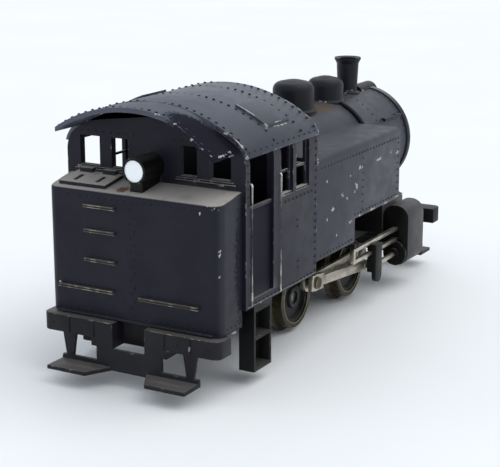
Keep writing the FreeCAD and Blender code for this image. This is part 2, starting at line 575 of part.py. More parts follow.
def chassis_frame():
    whole = fuse(
        "frame_blank",
        block("frame_main", ("seat_front", "frame_front"), ("-frame_half", "frame_half"),
              ("frame_low", "frame_high")),
        block("motor_seat", ("seat_rear", "seat_front"), ("-seat_half", "seat_half"),
              ("frame_low", "seat_high")),
        block("tail_web_block", ("seat_rear - tail_web", "seat_rear"),
              ("-tail_half", "tail_half"), ("frame_low", "tail_high")),
        block("rear_tail", ("-beam_back", "seat_rear - tail_web"), ("-tail_half", "tail_half"),
              ("tail_low", "tail_high")),
        block("front_tail", ("frame_front", "beam_back"), ("-tail_half", "tail_half"),
              ("tail_low", "tail_high")))
    tools = [block("worm_slot", ("seat_front", "slot_front"), ("-gear_slot", "gear_slot"),
                   ("frame_low", "frame_high"))]
    for name, station in AXLES.items():
        tools.append(block(f"axle_slot_{name}", (f"{station} - bush_radius",
                                                 f"{station} + bush_radius"),
                           ("-frame_half", "frame_half"), ("frame_low", "axle_level")))
        tools.append(cylinder(f"axle_seat_{name}", "y", "bush_radius",
                              ("-frame_half", "frame_half"), (station, "axle_level")))
    for name, station in {"rear": "rear_screw_x", "front": "front_screw_x"}.items():
        tools.append(cylinder(f"frame_screw_hole_{name}", "z", "screw_radius",
                              ("tail_low", "tail_high"), (station, "0")))
    for station in ("coupler_hole_rear", "coupler_hole_front"):
        tools.append(cylinder("frame_" + station, "z", "coupler_hole",
                              ("tail_low", "tail_high"), (station, "0")))
    for hand, side in SIDES.items():
        tools.append(cylinder(f"motor_screw_hole_{hand}", "z", "motor_screw",
                              ("frame_low", "seat_high"), ("motor_screw_x", f"{side}*pole_mid")))
    for name, station in KEEPER_SCREWS.items():
        tools.append(cylinder(f"keeper_thread_{name}", "z", "motor_screw",
                              ("frame_low", "frame_low + keeper_thread"), (station, "0")))
    node("chassis_frame", cut("frame_casting", whole, *tools))


def keeper():
    """The plate under the axle slots, and the small screws that hold it and the motor."""
    blank = block("keeper_blank", ("keeper_rear", "keeper_front"), ("-frame_half", "frame_half"),
                  ("keeper_low", "frame_low"))
    clear = [cylinder(f"keeper_bush_{name}", "y", "bush_radius + running_gap",
                      ("-frame_half", "frame_half"), (station, "axle_level"))
             for name, station in AXLES.items()]
    window = block("keeper_gear_window", ("rear_axle_x - gear_window",
                                          "rear_axle_x + gear_window"),
                   ("-gear_slot", "gear_slot"), ("keeper_low", "frame_low"))
    holes = [cylinder(f"keeper_hole_{name}", "z", "motor_screw", ("keeper_low", "frame_low"),
                      (station, "0")) for name, station in KEEPER_SCREWS.items()]
    holes += [cylinder(f"keeper_counterbore_{name}", "z", "motor_screw*screw_head + running_gap",
                       ("keeper_low", "keeper_low + motor_screw"), (station, "0"))
              for name, station in KEEPER_SCREWS.items()]
    node("keeper_plate", cut("keeper", blank, *clear, window, *holes))
    screws = [screw(f"keeper_screw_{name}", (station, "0"), "keeper_low + motor_screw",
                    "frame_low + keeper_thread", "motor_screw")
              for name, station in KEEPER_SCREWS.items()]
    screws += [screw(f"motor_screw_{hand}", ("motor_screw_x", f"{side}*pole_mid"), "frame_low",
                     "seat_high + motor_thread", "motor_screw") for hand, side in SIDES.items()]
    node("chassis_screws", group("small_screws", *screws))


def screw(name, centre, seat, tip, radius):
    """A cheese-head screw pointing up, its slotted head below the face that it pulls on."""
    head = cylinder(name + "_head", "z", f"{radius}*screw_head", (f"{seat} - {radius}", seat),
                    centre)
    shank = cylinder(name + "_shank", "z", radius, (seat, tip), centre)
    slot = block(name + "_slot", (f"{centre[0]} - 2*{radius}", f"{centre[0]} + 2*{radius}"),
                 (f"{centre[1]} - {radius}*screw_slot", f"{centre[1]} + {radius}*screw_slot"),
                 (f"{seat} - {radius}", f"{seat} - {radius}*screw_slot_floor"))
    return cut(name, fuse(name + "_blank", head, shank), slot)


def body_screws():
    node("body_screws", group("body_screw_pair", *[
        screw(f"body_screw_{name}", (station, "0"), "tail_low", "screw_tip", "screw_radius")
        for name, station in {"rear": "rear_screw_x", "front": "front_screw_x"}.items()]))


def axle_bushes():
    bushes = []
    for name, station in AXLES.items():
        for hand, side in SIDES.items():
            ring = fuse(f"bush_blank_{name}_{hand}",
                        cylinder(f"bush_sleeve_{name}_{hand}", "y", "bush_radius",
                                 across(side, "bush_in", "bush_out"), (station, "axle_level")),
                        cylinder(f"bush_collar_{name}_{hand}", "y", "bush_radius + bush_collar",
                                 across(side, "frame_half", "bush_out"), (station, "axle_level")))
            hole = cylinder(f"bush_hole_{name}_{hand}", "y", "axle_radius + running_gap",
                            across(side, "bush_in", "bush_out"), (station, "axle_level"))
            bushes.append(cut(f"bush_{name}_{hand}", ring, hole))
    node("axle_bushes", group("bushes", *bushes))


# Wheels and rods -------------------------------------------------------------------------------

def pin_place(end, side):
    """Where a crankpin's centre is, the left side's a quarter turn behind the right side's."""
    angle = "crank_angle" if side == RIGHT else "(crank_angle - 90)"
    return (f"{AXLES[end]} + crank*cos({angle})", f"axle_level + crank*sin({angle})")


def wheelset(end):
    station = AXLES[end]
    node(f"{end}_axle", cylinder(f"{end}_axle_bar", "y", "axle_radius",
                                 ("-wheel_web_out", "wheel_web_out"), (station, "axle_level")))
    tyres = []
    wheels = []
    pins = []
    for hand, side in SIDES.items():
        tag = f"{end}_{hand}"
        tyre = turned(f"tyre_blank_{tag}", "YZ_Plane", "H_Axis", [
            ("wheel_back", "centre_radius"), ("wheel_face", "centre_radius"),
            ("wheel_face", "tread - tyre_edge"), ("wheel_face - tyre_edge", "tread"),
            ("wheel_back + flange_width + tread_fillet", "tread + tread_rise", "tread_fillet",
             "hollow"),
            ("wheel_back + flange_width", "tread + flange_root"),
            ("wheel_back + 3*flange_width/4", "flange - flange_round"),
            ("wheel_back + flange_width/2", "flange"),
            ("wheel_back + flange_width/4", "flange - flange_round"),
            ("wheel_back", "flange - flange_back")],
            mirrored=side == RIGHT, x=station, z="axle_level")
        tyres.append(tyre)
        centre = turned(f"centre_blank_{tag}", "YZ_Plane", "H_Axis", [
            ("wheel_back", "axle_radius"), ("wheel_hub_face", "axle_radius"),
            ("wheel_hub_face", "wheel_hub"), ("wheel_web_out", "wheel_hub + wheel_draft"),
            ("wheel_web_out", "wheel_rim_in"), ("wheel_rim_face", "wheel_rim_in + wheel_draft"),
            ("wheel_rim_face", "centre_radius"), ("wheel_back", "centre_radius")],
            mirrored=side == RIGHT, x=station, z="axle_level")
        pin = pin_place(end, side)
        boss = cylinder(f"crank_boss_{tag}", "y", "crank_boss",
                        across(side, "wheel_web_out - boss_sink", "crank_boss_face"), pin)
        hole = cylinder(f"crank_hole_{tag}", "y", "pin_radius",
                        across(side, "pin_root", "crank_boss_face"), pin)
        wheels.append(cut(f"wheel_{tag}", fuse(f"wheel_blank_{tag}", centre, boss), hole))
        outer = "main_rod_out + pin_play" if end == "rear" else "side_rod_out + pin_play"
        shank = cylinder(f"pin_shank_{tag}", "y", "pin_radius",
                         across(side, "pin_root", f"{outer} + pin_head"), pin)
        head = cylinder(f"pin_head_{tag}", "y", "pin_head_radius",
                        across(side, outer, f"{outer} + pin_head"), pin)
        pins.append(fuse(f"crankpin_{tag}", shank, head))
    node(f"{end}_tyres", group(f"{end}_tyre_pair", *tyres))
    node(f"{end}_wheel_centres", group(f"{end}_centre_pair", *wheels))
    node(f"{end}_crankpins", group(f"{end}_pin_pair", *pins))


def worm_wheel():
    """Straight teeth stand for the worm wheel's shallow helix."""
    body = doc.addObject("PartDesign::Body", "gear_body")
    root = "(gear_module*gear_teeth/2 - 1.25*gear_module)"
    rim = draw_ring(body, "gear_root", "axle_radius", root)
    pad = body.newObject("PartDesign::Pad", "gear_root_pad")
    pad.Profile = rim
    pad.SideType = "Symmetric"
    pad.setExpression("Length", formula("2*gear_half"))
    tip = "(gear_module*gear_teeth/2 + gear_module)"
    tooth = draw(body, "XZ_Plane", "gear_tooth", [
        ("-tooth_root_half", f"{root} - gear_module"),
        ("tooth_root_half", f"{root} - gear_module"), ("tooth_root_half", root),
        ("tooth_tip_half", tip), ("-tooth_tip_half", tip), ("-tooth_root_half", root)])
    tooth_pad = body.newObject("PartDesign::Pad", "gear_tooth_pad")
    tooth_pad.Profile = tooth
    tooth_pad.SideType = "Symmetric"
    tooth_pad.setExpression("Length", formula("2*gear_half"))
    pattern = body.newObject("PartDesign::PolarPattern", "gear_teeth_pattern")
    pattern.Originals = [tooth_pad]
    pattern.Axis = (next(item for item in body.Origin.OriginFeatures if item.Role == "Y_Axis"),
                    [""])
    pattern.Angle = 360
    pattern.setExpression("Occurrences", formula("gear_teeth"))
    body.Tip = pattern
    place(body, x="rear_axle_x", z="axle_level")
    node("worm_wheel", body)


def draw_ring(body, name, inner, outer):
    """Two circles about the origin on the XZ plane."""
    sketch = body.newObject("Sketcher::SketchObject", name)
    sketch.AttachmentSupport = [(next(item for item in body.Origin.OriginFeatures
                                      if item.Role == "XZ_Plane"), "")]
    sketch.MapMode = "FlatFace"
    for index, radius in enumerate((inner, outer)):
        sketch.addGeometry(Part.Circle(Vector(), Vector(0, 0, 1), number(radius)), False)
        sketch.addConstraint(Sketcher.Constraint("Coincident", index, 3, -1, 1))
        bound = sketch.addConstraint(Sketcher.Constraint("Radius", index, number(radius)))
        sketch.setExpression(f"Constraints[{bound}]", formula(radius))
    return sketch


def rod(name, span, ends, bosses, holes, big_end=False):
    """A flat rod between two eyes in the XZ plane, made flat on and then turned to its line.

    ends are the eyes' centres, bosses and holes their radii; a big end is a block round the
    rear eye.
    """
    (rear_x, rear_z), (front_x, front_z) = ends
    eyes = [cylinder(f"{name}_eye_{index}", "y", boss, span, centre)
            for index, (centre, boss) in enumerate(zip(ends, bosses))]
    length = f"sqrt((({front_x}) - ({rear_x}))^2 + (({front_z}) - ({rear_z}))^2)"
    forward, upward = f"(({front_x}) - ({rear_x}))/{length}", f"(({front_z}) - ({rear_z}))/{length}"
    rise = math.degrees(math.atan2(number(front_z) - number(rear_z),
                                   number(front_x) - number(rear_x)))

    def bar(part, behind, reach, half, inset):
        """A flat bar along the rod's line, from behind the rear eye's centre to a reach."""
        item = doc.addObject("Part::Box", f"{name}_{part}")
        item.setExpression("Length", formula(f"{behind} + {reach}"))
        item.setExpression("Width", formula(f"({span[1]}) - ({span[0]}) - 2*{inset}"))
        item.setExpression("Height", formula(f"2*{half}"))
        item.Placement = Placement(Vector(), Rotation(Vector(0, 1, 0), -rise))
        place(item, x=f"({rear_x}) - {behind}*{forward} + {half}*{upward}",
              y=f"({span[0]}) + {inset}",
              z=f"({rear_z}) - {behind}*{upward} - {half}*{forward}")
        return item

    bars = [bar("web", "0", length, "(rod_depth/2)", "rod_web_inset")]
    if big_end:
        bars.append(bar("big_end", "big_end_rear", "big_end_front", "big_end_half", "0"))
    bores = [cylinder(f"{name}_bore_{index}", "y", hole, span, centre)
             for index, (centre, hole) in enumerate(zip(ends, holes))]
    node(name, cut(name + "_piece", fuse(name + "_blank", *bars, *eyes), *bores))


def rods_and_crossheads():
    guides = []
    for hand, side in SIDES.items():
        rear_pin, front_pin = pin_place("rear", side), pin_place("front", side)
        pin_hole = "pin_radius + rod_gap"
        rod(f"side_rod_{hand}", across(side, "side_rod_in", "side_rod_out"),
            (rear_pin, front_pin), ("side_boss", "side_boss"), (pin_hole, pin_hole))
        reach = f"sqrt(main_rod_length^2 - (({rear_pin[1]}) - motion_level)^2)"
        wrist = (f"({rear_pin[0]}) + {reach}", "motion_level")
        rod(f"main_rod_{hand}", across(side, "main_rod_in", "main_rod_out"),
            (rear_pin, wrist), ("main_boss", "wrist_eye"), (pin_hole, "wrist_radius + rod_gap"),
            big_end=True)
        crosshead(hand, side, wrist[0])
        guides.append(guide(hand, side))
    node("guide_bars", group("guide_pair", *guides))
    node("guide_yoke", block("guide_cross_bar", ("guide_rear", "guide_rear + yoke_long"),
                             ("-guide_out", "guide_out"), ("frame_high", "frame_high + yoke_long")))


def crosshead(hand, side, wrist_x):
    """The block that slides between the guide bars and hangs outside the lower one.

    Its wrist pin ends short of the main rod, because that pivot of the loop is left open.
    """
    length = (f"{wrist_x} - crosshead_half", f"{wrist_x} + crosshead_half")
    shoe = block(f"crosshead_shoe_{hand}", length, across(side, "crosshead_in", "crosshead_out"),
                 ("guide_low + guide_thick + slide_gap", "guide_high - slide_gap"))
    plate_span = across(side, "crosshead_neck", "crosshead_out")
    neck = block(f"crosshead_neck_{hand}", length, plate_span,
                 ("crosshead_low + crosshead_half", "guide_high - slide_gap"))
    foot = cylinder(f"crosshead_foot_{hand}", "y", "crosshead_half", plate_span,
                    (wrist_x, "crosshead_low + crosshead_half"))
    drop = block(f"crosshead_drop_{hand}", length, across(side, "crosshead_in", "crosshead_out"),
                 ("motion_level - crosshead_drop", "guide_low - slide_gap"))
    pin = cylinder(f"wrist_pin_{hand}", "y", "wrist_radius",
                   across(side, "main_rod_out + wrist_gap", "crosshead_in"),
                   (wrist_x, "motion_level"))
    centre = (f"{side}*piston_y", "motion_level")
    rod_rear = f"{wrist_x} + crosshead_half - socket"
    hole = cylinder(f"piston_rod_socket_{hand}", "x", "piston_rod_radius",
                    (rod_rear, length[1]), centre)
    node(f"crosshead_{hand}", cut(f"crosshead_piece_{hand}",
                                  fuse(f"crosshead_blank_{hand}", shoe, neck, foot, drop, pin),
                                  hole))
    node(f"piston_rod_{hand}", cylinder(f"piston_rod_bar_{hand}", "x", "piston_rod_radius",
                                        (rod_rear, f"{wrist_x} + piston_rod_length"), centre))


def guide(hand, side):
    """Two guide bars joined at their rear end, below the cross bar."""
    lateral = across(side, "crosshead_in", "guide_out")
    bars = [block(f"guide_bar_{name}_{hand}", ("guide_rear", "cylinder_rear"), lateral,
                  (level, f"{level} + guide_thick"))
            for name, level in {"low": "guide_low", "high": "guide_high"}.items()]
    end = block(f"guide_end_{hand}", ("guide_rear", "guide_rear + guide_thick"), lateral,
                ("guide_low", "guide_high + guide_thick"))
    return fuse(f"guide_frame_{hand}", *bars, end)


def cylinders():
    """One casting holds both cylinders and steam chests and carries the smokebox saddle."""
    pieces = [block("cylinder_bridge", ("saddle_rear + bridge_inset",
                                        "saddle_front - bridge_inset"),
                    ("-chest_in", "chest_in"), ("tail_high", "chest_high"))]
    bores = []
    for hand, side in SIDES.items():
        pieces.append(plate(f"steam_chest_{hand}", "YZ_Plane", ("cylinder_rear",
                                                                "cylinder_front"),
                            chest_outline(side)))
        pieces.append(cylinder(f"cylinder_{hand}", "x", "cylinder_radius",
                               ("cylinder_rear", "cylinder_front"),
                               (f"{side}*piston_y", "motion_level")))
        bores.append(cylinder(f"cylinder_bore_{hand}", "x", "cylinder_bore",
                              ("cylinder_rear", "cylinder_front - cylinder_end"),
                              (f"{side}*piston_y", "motion_level")))
    bores.append(cylinder("bridge_screw_hole", "z", "screw_radius", ("tail_high", "chest_high"),
                          ("front_screw_x", "0")))
    node("cylinder_casting", cut("cylinder_block", fuse("cylinder_blank", *pieces), *bores))
    covers = []
    for hand, side in SIDES.items():
        centre = (f"{side}*piston_y", "motion_level")
        rim = ("cylinder_rear - cover", "cylinder_rear")
        gland = ("cylinder_rear - 2*cover", "cylinder_rear - cover")
        covers.append(cut(
            f"cover_piece_{hand}",
            fuse(f"cover_blank_{hand}",
                 cylinder(f"cover_disc_{hand}", "x", "cover_radius", rim, centre),
                 cylinder(f"cover_gland_{hand}", "x", "piston_rod_radius + gland_wall", gland,
                          centre)),
            cylinder(f"cover_bore_{hand}", "x", "piston_rod_radius + rod_gap",
                     (gland[0], rim[1]), centre)))
    node("cylinder_covers", group("covers", *covers))


def chest_outline(side):
    """A steam chest with a rounded top, drawn in the YZ plane."""
    inner, outer = across(side, "chest_in", "chest_out")
    return [(inner, "motion_level"), (outer, "motion_level"),
            (outer, "chest_high - chest_round", "chest_round"),
            (f"({outer}) - chest_round", "chest_high"),
            (f"({inner}) + chest_round", "chest_high", "chest_round"),
            (inner, "chest_high - chest_round")]


# Motor -----------------------------------------------------------------------------------------

def shaft_round(name, radius, rear, front):
    """A cylinder on the motor shaft's centre line."""
    return cylinder(name, "x", radius, (rear, front), ("0", "shaft_level"))


def spoke(name, half, reach, degrees):
    """A flat bar as long as the core, outwards from the shaft's centre line at an angle."""
    item = doc.addObject("Part::Box", name)
    item.setExpression("Length", formula("core_front - core_rear"))
    item.setExpression("Width", formula(f"2*{half}"))
    item.setExpression("Height", formula(reach))
    item.Placement = Placement(Vector(), Rotation(Vector(1, 0, 0), degrees))
    place(item, x="core_rear", y=f"-{half}*cos({degrees})",
          z=f"shaft_level - {half}*sin({degrees})")
    return item


def armature():
    """The turning parts: shaft, three-pole core, windings, commutator and worm."""
    node("motor_shaft", shaft_round("shaft_bar", "shaft_radius", "shaft_rear", "shaft_front"))
    hub = shaft_round("core_hub_bar", "core_hub", "core_rear", "core_front")
    skin = cut("core_skin", shaft_round("core_round", "core_radius", "core_rear", "core_front"),
               shaft_round("core_inner", "core_head", "core_rear", "core_front"))
    webs = [spoke(f"core_web_{angle}", "core_web", "core_web_reach", angle)
            for angle in (0, 120, 240)]
    gaps = [spoke(f"core_gap_{angle}", "core_gap", "core_radius + beyond", angle)
            for angle in (60, 180, 300)]
    bore = shaft_round("core_shaft_hole", "shaft_radius", "shaft_rear", "shaft_front")
    core = cut("core_bored", fuse("core_blank", hub, *webs, cut("core_heads", skin, *gaps)), bore)
    node("armature_core", core)
    coil = shaft_round("coil_blank", "coil_radius", "core_rear - coil_end",
                       "core_front + coil_end")
    node("armature_windings", cut("coils", coil, core, bore))
    barrel = shaft_round("commutator_blank", "commutator_radius", "commutator_rear",
                         "commutator_front")
    node("commutator", cut("commutator_ring", barrel,
                           shaft_round("commutator_hole", "shaft_radius", "commutator_rear",
                                       "commutator_front")))
    worm()


def worm():
    """A single-start worm with a left-handed thread, its gaps centred over the wheel's teeth."""
    helix = doc.addObject("Part::Helix", "worm_helix")
    helix.LocalCoord = 1
    helix.setExpression("Pitch", formula("pi*gear_module"))
    helix.setExpression("Height", formula("worm_turns*pi*gear_module"))
    helix.setExpression("Radius", formula("thread_root"))
    outline = doc.addObject("Sketcher::SketchObject", "worm_thread_outline")
    outline.Placement = Placement(Vector(), Rotation(Vector(1, 0, 0), 90))
    trace(outline, [("thread_root", "-thread_foot"),
                    ("worm_pitch_radius + gear_module", "-thread_crest"),
                    ("worm_pitch_radius + gear_module", "thread_crest"),
                    ("thread_root", "thread_foot")])
    thread = doc.addObject("Part::Sweep", "worm_thread")
    thread.Sections = [outline]
    thread.Spine = (helix, ["Edge1"])
    thread.Solid = True
    thread.Frenet = True
    thread.Placement = Placement(Vector(), TURNS["x"])
    place(thread, x="rear_axle_x - worm_turns*pi*gear_module/2", z="shaft_level")
    core = shaft_round("worm_core", "worm_pitch_radius - 1.25*gear_module", "worm_rear",
                       "worm_front")
    hole = shaft_round("worm_hole", "shaft_radius", "worm_rear", "worm_front")
    node("worm", cut("worm_piece", fuse("worm_blank", core, thread), hole))


def motor_frame():
    """Pole plates, magnet, end brackets, bearings, brushes and their holders."""
    poles = []
    holders = []
    brushes = []
    arms = []
    for hand, side in SIDES.items():
        slab = block(f"pole_blank_{hand}", ("pole_rear", "pole_front"),
                     across(side, "pole_in", "pole_out"), ("seat_high", "pole_high"))
        thread = cylinder(f"pole_thread_{hand}", "z", "motor_screw",
                          ("seat_high", "seat_high + motor_thread"),
                          ("motor_screw_x", f"{side}*pole_mid"))
        poles.append(cut(f"pole_{hand}", slab, thread))
        arms.append(block(f"bracket_arm_{hand}", ("bracket_rear + bracket_plate", "pole_rear"),
                          across(side, "pole_out - bracket_arm", "pole_out"),
                          ("bracket_low", "bracket_high")))
        brush_span = ("brush_rear", "brush_front")
        brush_level = ("shaft_level - brush_half", "shaft_level + brush_half")
        brushes.append(block(f"brush_{hand}", brush_span,
                             across(side, "commutator_radius + running_gap", "brush_out"),
                             brush_level))
        tube = block(f"holder_blank_{hand}", ("brush_rear - holder_wall",
                                              "brush_front + holder_wall"),
                     across(side, "holder_in", "pole_out - bracket_arm"),
                     ("shaft_level - brush_half - holder_wall",
                      "shaft_level + brush_half + holder_wall"))
        slot = block(f"holder_slot_{hand}", brush_span, across(side, "holder_in", "brush_out"),
                     brush_level)
        holders.append(cut(f"holder_{hand}", tube, slot))
    node("pole_pieces", group("poles", *poles))
    node("motor_magnet", block("magnet_block", ("pole_rear", "pole_front"),
                               ("-pole_in", "pole_in"), ("magnet_low", "pole_high")))
    wide = ("-pole_out", "pole_out")
    tall = ("bracket_low", "bracket_high")
    plates = {"rear": ("bracket_rear", "bracket_rear + bracket_plate"),
              "front": ("pole_front", "pole_front + bracket_plate")}
    bearings = []
    for end, span in plates.items():
        slab = block(f"bracket_plate_{end}", span, wide, tall)
        if end == "rear":
            slab = fuse("rear_bracket_blank", slab, *arms)
        seat = shaft_round(f"bearing_seat_{end}", "bearing_radius", *span)
        node(f"motor_bracket_{end}", cut(f"bracket_{end}", slab, seat))
        reach = (f"{span[0]} - bearing_end", f"{span[1]} + bearing_end")
        bearings.append(cut(f"bearing_{end}",
                            shaft_round(f"bearing_blank_{end}", "bearing_radius", *reach),
                            shaft_round(f"bearing_hole_{end}", "shaft_radius + running_gap",
                                        *reach)))
    node("motor_bearings", group("bearings", *bearings))
    node("brush_holders", group("holders", *holders))
    node("brushes", group("brush_pair", *brushes))


# Pilots ----------------------------------------------------------------------------------------

def pilot(end, facing):
    """A split beam with a coupler pocket, straps, a centre plate and two footboards.

    The front beam stands higher than the rear one.
    """
    rise = "front_beam_rise" if end == "front" else "0"
    low, high = f"beam_low + {rise}", f"beam_high + {rise}"
    depth = across(facing, "beam_back", "beam_face")
    skin = across(facing, "beam_face - plate_thick", "beam_face")
    pieces = [block(f"pocket_web_{end}", across(facing, "beam_back", "beam_face - pocket_deep"),
                    ("-pocket_half", "pocket_half"), ("draft_low", high)),
              block(f"centre_plate_{end}", skin, ("-plate_half", "plate_half"),
                    ("plate_low", "draft_low"))]
    for hand, side in SIDES.items():
        tag = f"{end}_{hand}"
        pieces += [
            block(f"beam_{tag}", depth, across(side, "pocket_half", "beam_half - beam_end"),
                  (low, high)),
            block(f"beam_tip_{tag}", across(facing, "beam_back", "beam_face - beam_end"),
                  across(side, "beam_half - beam_end", "beam_half"), (low, high)),
            cylinder(f"beam_round_{tag}", "z", "beam_end", (low, high),
                     (f"{facing}*(beam_face - beam_end)", f"{side}*(beam_half - beam_end)")),
            block(f"draft_block_{tag}", depth, across(side, "pocket_half", "draft_out"),
                  ("draft_low", low)),
            block(f"riser_{tag}", skin, across(side, "footboard_in", "footboard_half"),
                  ("plate_low", "riser_high")),
            plate(f"strap_{tag}", "YZ_Plane", skin, [
                (f"{side}*strap_y - strap_half", "riser_high"),
                (f"{side}*strap_y + strap_half", "riser_high"),
                (f"{side}*strap_y + strap_top_half", low),
                (f"{side}*strap_y - strap_top_half", low)]),
            plate(f"tread_{tag}", "XY_Plane", ("plate_low", "plate_low + plate_thick"), [
                (f"{facing}*beam_face", f"{side}*footboard_in"),
                (f"{facing}*beam_face", f"{side}*footboard_half"),
                (f"{facing}*footboard_out", f"{side}*footboard_half"),
                (f"{facing}*footboard_out", f"{side}*(footboard_in + footboard_cut)")])]
    node(f"{end}_pilot", fuse(f"{end}_pilot_casting", *pieces))


# The whole locomotive --------------------------------------------------------------------------

cab_and_bunker()
cab_roof()
bunker_fittings()
cab_steps()
boiler_and_tanks()
domes_and_chimney()
smokebox_fittings()
chassis_frame()
keeper()
body_screws()
axle_bushes()
for axle in AXLES:
    wheelset(axle)
worm_wheel()
rods_and_crossheads()
cylinders()
armature()
motor_frame()
pilot("rear", -1)
pilot("front", 1)
doc.recompute()

for item in doc.Objects:
    faults = [state for state in item.State if state in ("Invalid", "Error")]
    if faults:
        raise RuntimeError(f"{item.Label} failed: {faults}")
os.makedirs("parts", exist_ok=True)
for piece in NODES:
    shape = piece.Shape
    if shape.isNull() or not shape.isValid() or not shape.Solids:
        raise RuntimeError(f"{piece.Label} has no valid solid")
    shape.exportStep(f"parts/{piece.Label}.step")
    print(f"{piece.Label}: {len(shape.Solids)} solid(s), {shape.Volume:.2f} mm3")
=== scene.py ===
"""Model steam locomotive: the looks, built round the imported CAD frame.

The CAD pieces keep their shape and get rounded edges. Rivets, window sills and posts, hinge
straps, rubbed edges and other small relief are added as pieces of their own. Lengths here are
millimetres in the frame's own axes, turned into metres as each mesh is made: +X is the front,
+Y the left side and Z up, with the ground at 0.
"""
import json
import math
import random

import bmesh
import bpy
from mathutils import Matrix, Vector
from mathutils.bvhtree import BVHTree


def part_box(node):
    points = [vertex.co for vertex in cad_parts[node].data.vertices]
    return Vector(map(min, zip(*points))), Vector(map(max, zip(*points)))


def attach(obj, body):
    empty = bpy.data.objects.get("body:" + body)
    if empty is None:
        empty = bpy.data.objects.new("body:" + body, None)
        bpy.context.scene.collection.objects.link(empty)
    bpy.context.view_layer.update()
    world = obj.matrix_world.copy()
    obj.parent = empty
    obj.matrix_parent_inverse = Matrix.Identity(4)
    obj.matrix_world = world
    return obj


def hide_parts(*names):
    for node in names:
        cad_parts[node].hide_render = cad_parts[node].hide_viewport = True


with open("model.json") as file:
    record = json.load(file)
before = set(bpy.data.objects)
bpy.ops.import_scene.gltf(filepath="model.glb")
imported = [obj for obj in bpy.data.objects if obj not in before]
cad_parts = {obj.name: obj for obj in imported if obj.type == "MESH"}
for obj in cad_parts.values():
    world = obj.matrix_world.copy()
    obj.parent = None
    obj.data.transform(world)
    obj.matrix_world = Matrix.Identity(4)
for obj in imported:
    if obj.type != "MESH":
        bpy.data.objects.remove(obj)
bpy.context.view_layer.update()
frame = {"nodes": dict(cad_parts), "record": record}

MM = 0.001
SHELL = "chassis_and_shell"
RIGHT, LEFT = -1, 1
SIDES = (RIGHT, LEFT)
SHARP = math.radians(32)
FLAT = math.radians(0.6)
rng = random.Random(11)

# Starting places for rays, clear of the object
ABOVE = 60
BEYOND = 60
ASIDE = 25
BEHIND_CAB = -45

# Where the CAD pieces that carry the relief are: stations along X, levels up Z, or offsets
CAB_REAR = -37.7
SEAM = -13.1
PANES = ((-25.9, -21.6), (-20.5, -15.7))
DOORWAY = (-36.2, -28.5)
BUNKER_SIDE = 16.5
BUNKER_FOOT = (11.0, 11.3)
BEAM_FACE = 46.2
BEAM_TOP_EDGE = (-46.16, 10.76)
SMOKEBOX_LEVEL = 28.0
SMOKEBOX_FACE = 44.5
DOOR_RADIUS = 6.6
BOLT_RING = 8.6
HANDWHEEL = 1.25
HANDWHEEL_PLACE = 46.2
# The left end, right end and top of each rung and rail on the bunker
RUNGS = ((9.2, 3.1, 30.05), (9.2, 3.1, 25.9), (9.2, 3.1, 20.95), (14.6, 3.6, 15.9),
         (-1.3, -12.7, 15.6))

record = frame["record"]
BODY_OF = {node: body for body, nodes in record["behaviour"]["bodies"].items() for node in nodes}
SLOT_OF = {row["node"]: row["material_slot"] for row in record["subparts"]}


def corners(node):
    """A CAD node's lowest and highest corners in millimetres."""
    low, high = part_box(node)
    return low / MM, high / MM


# Materials --------------------------------------------------------------------------------------

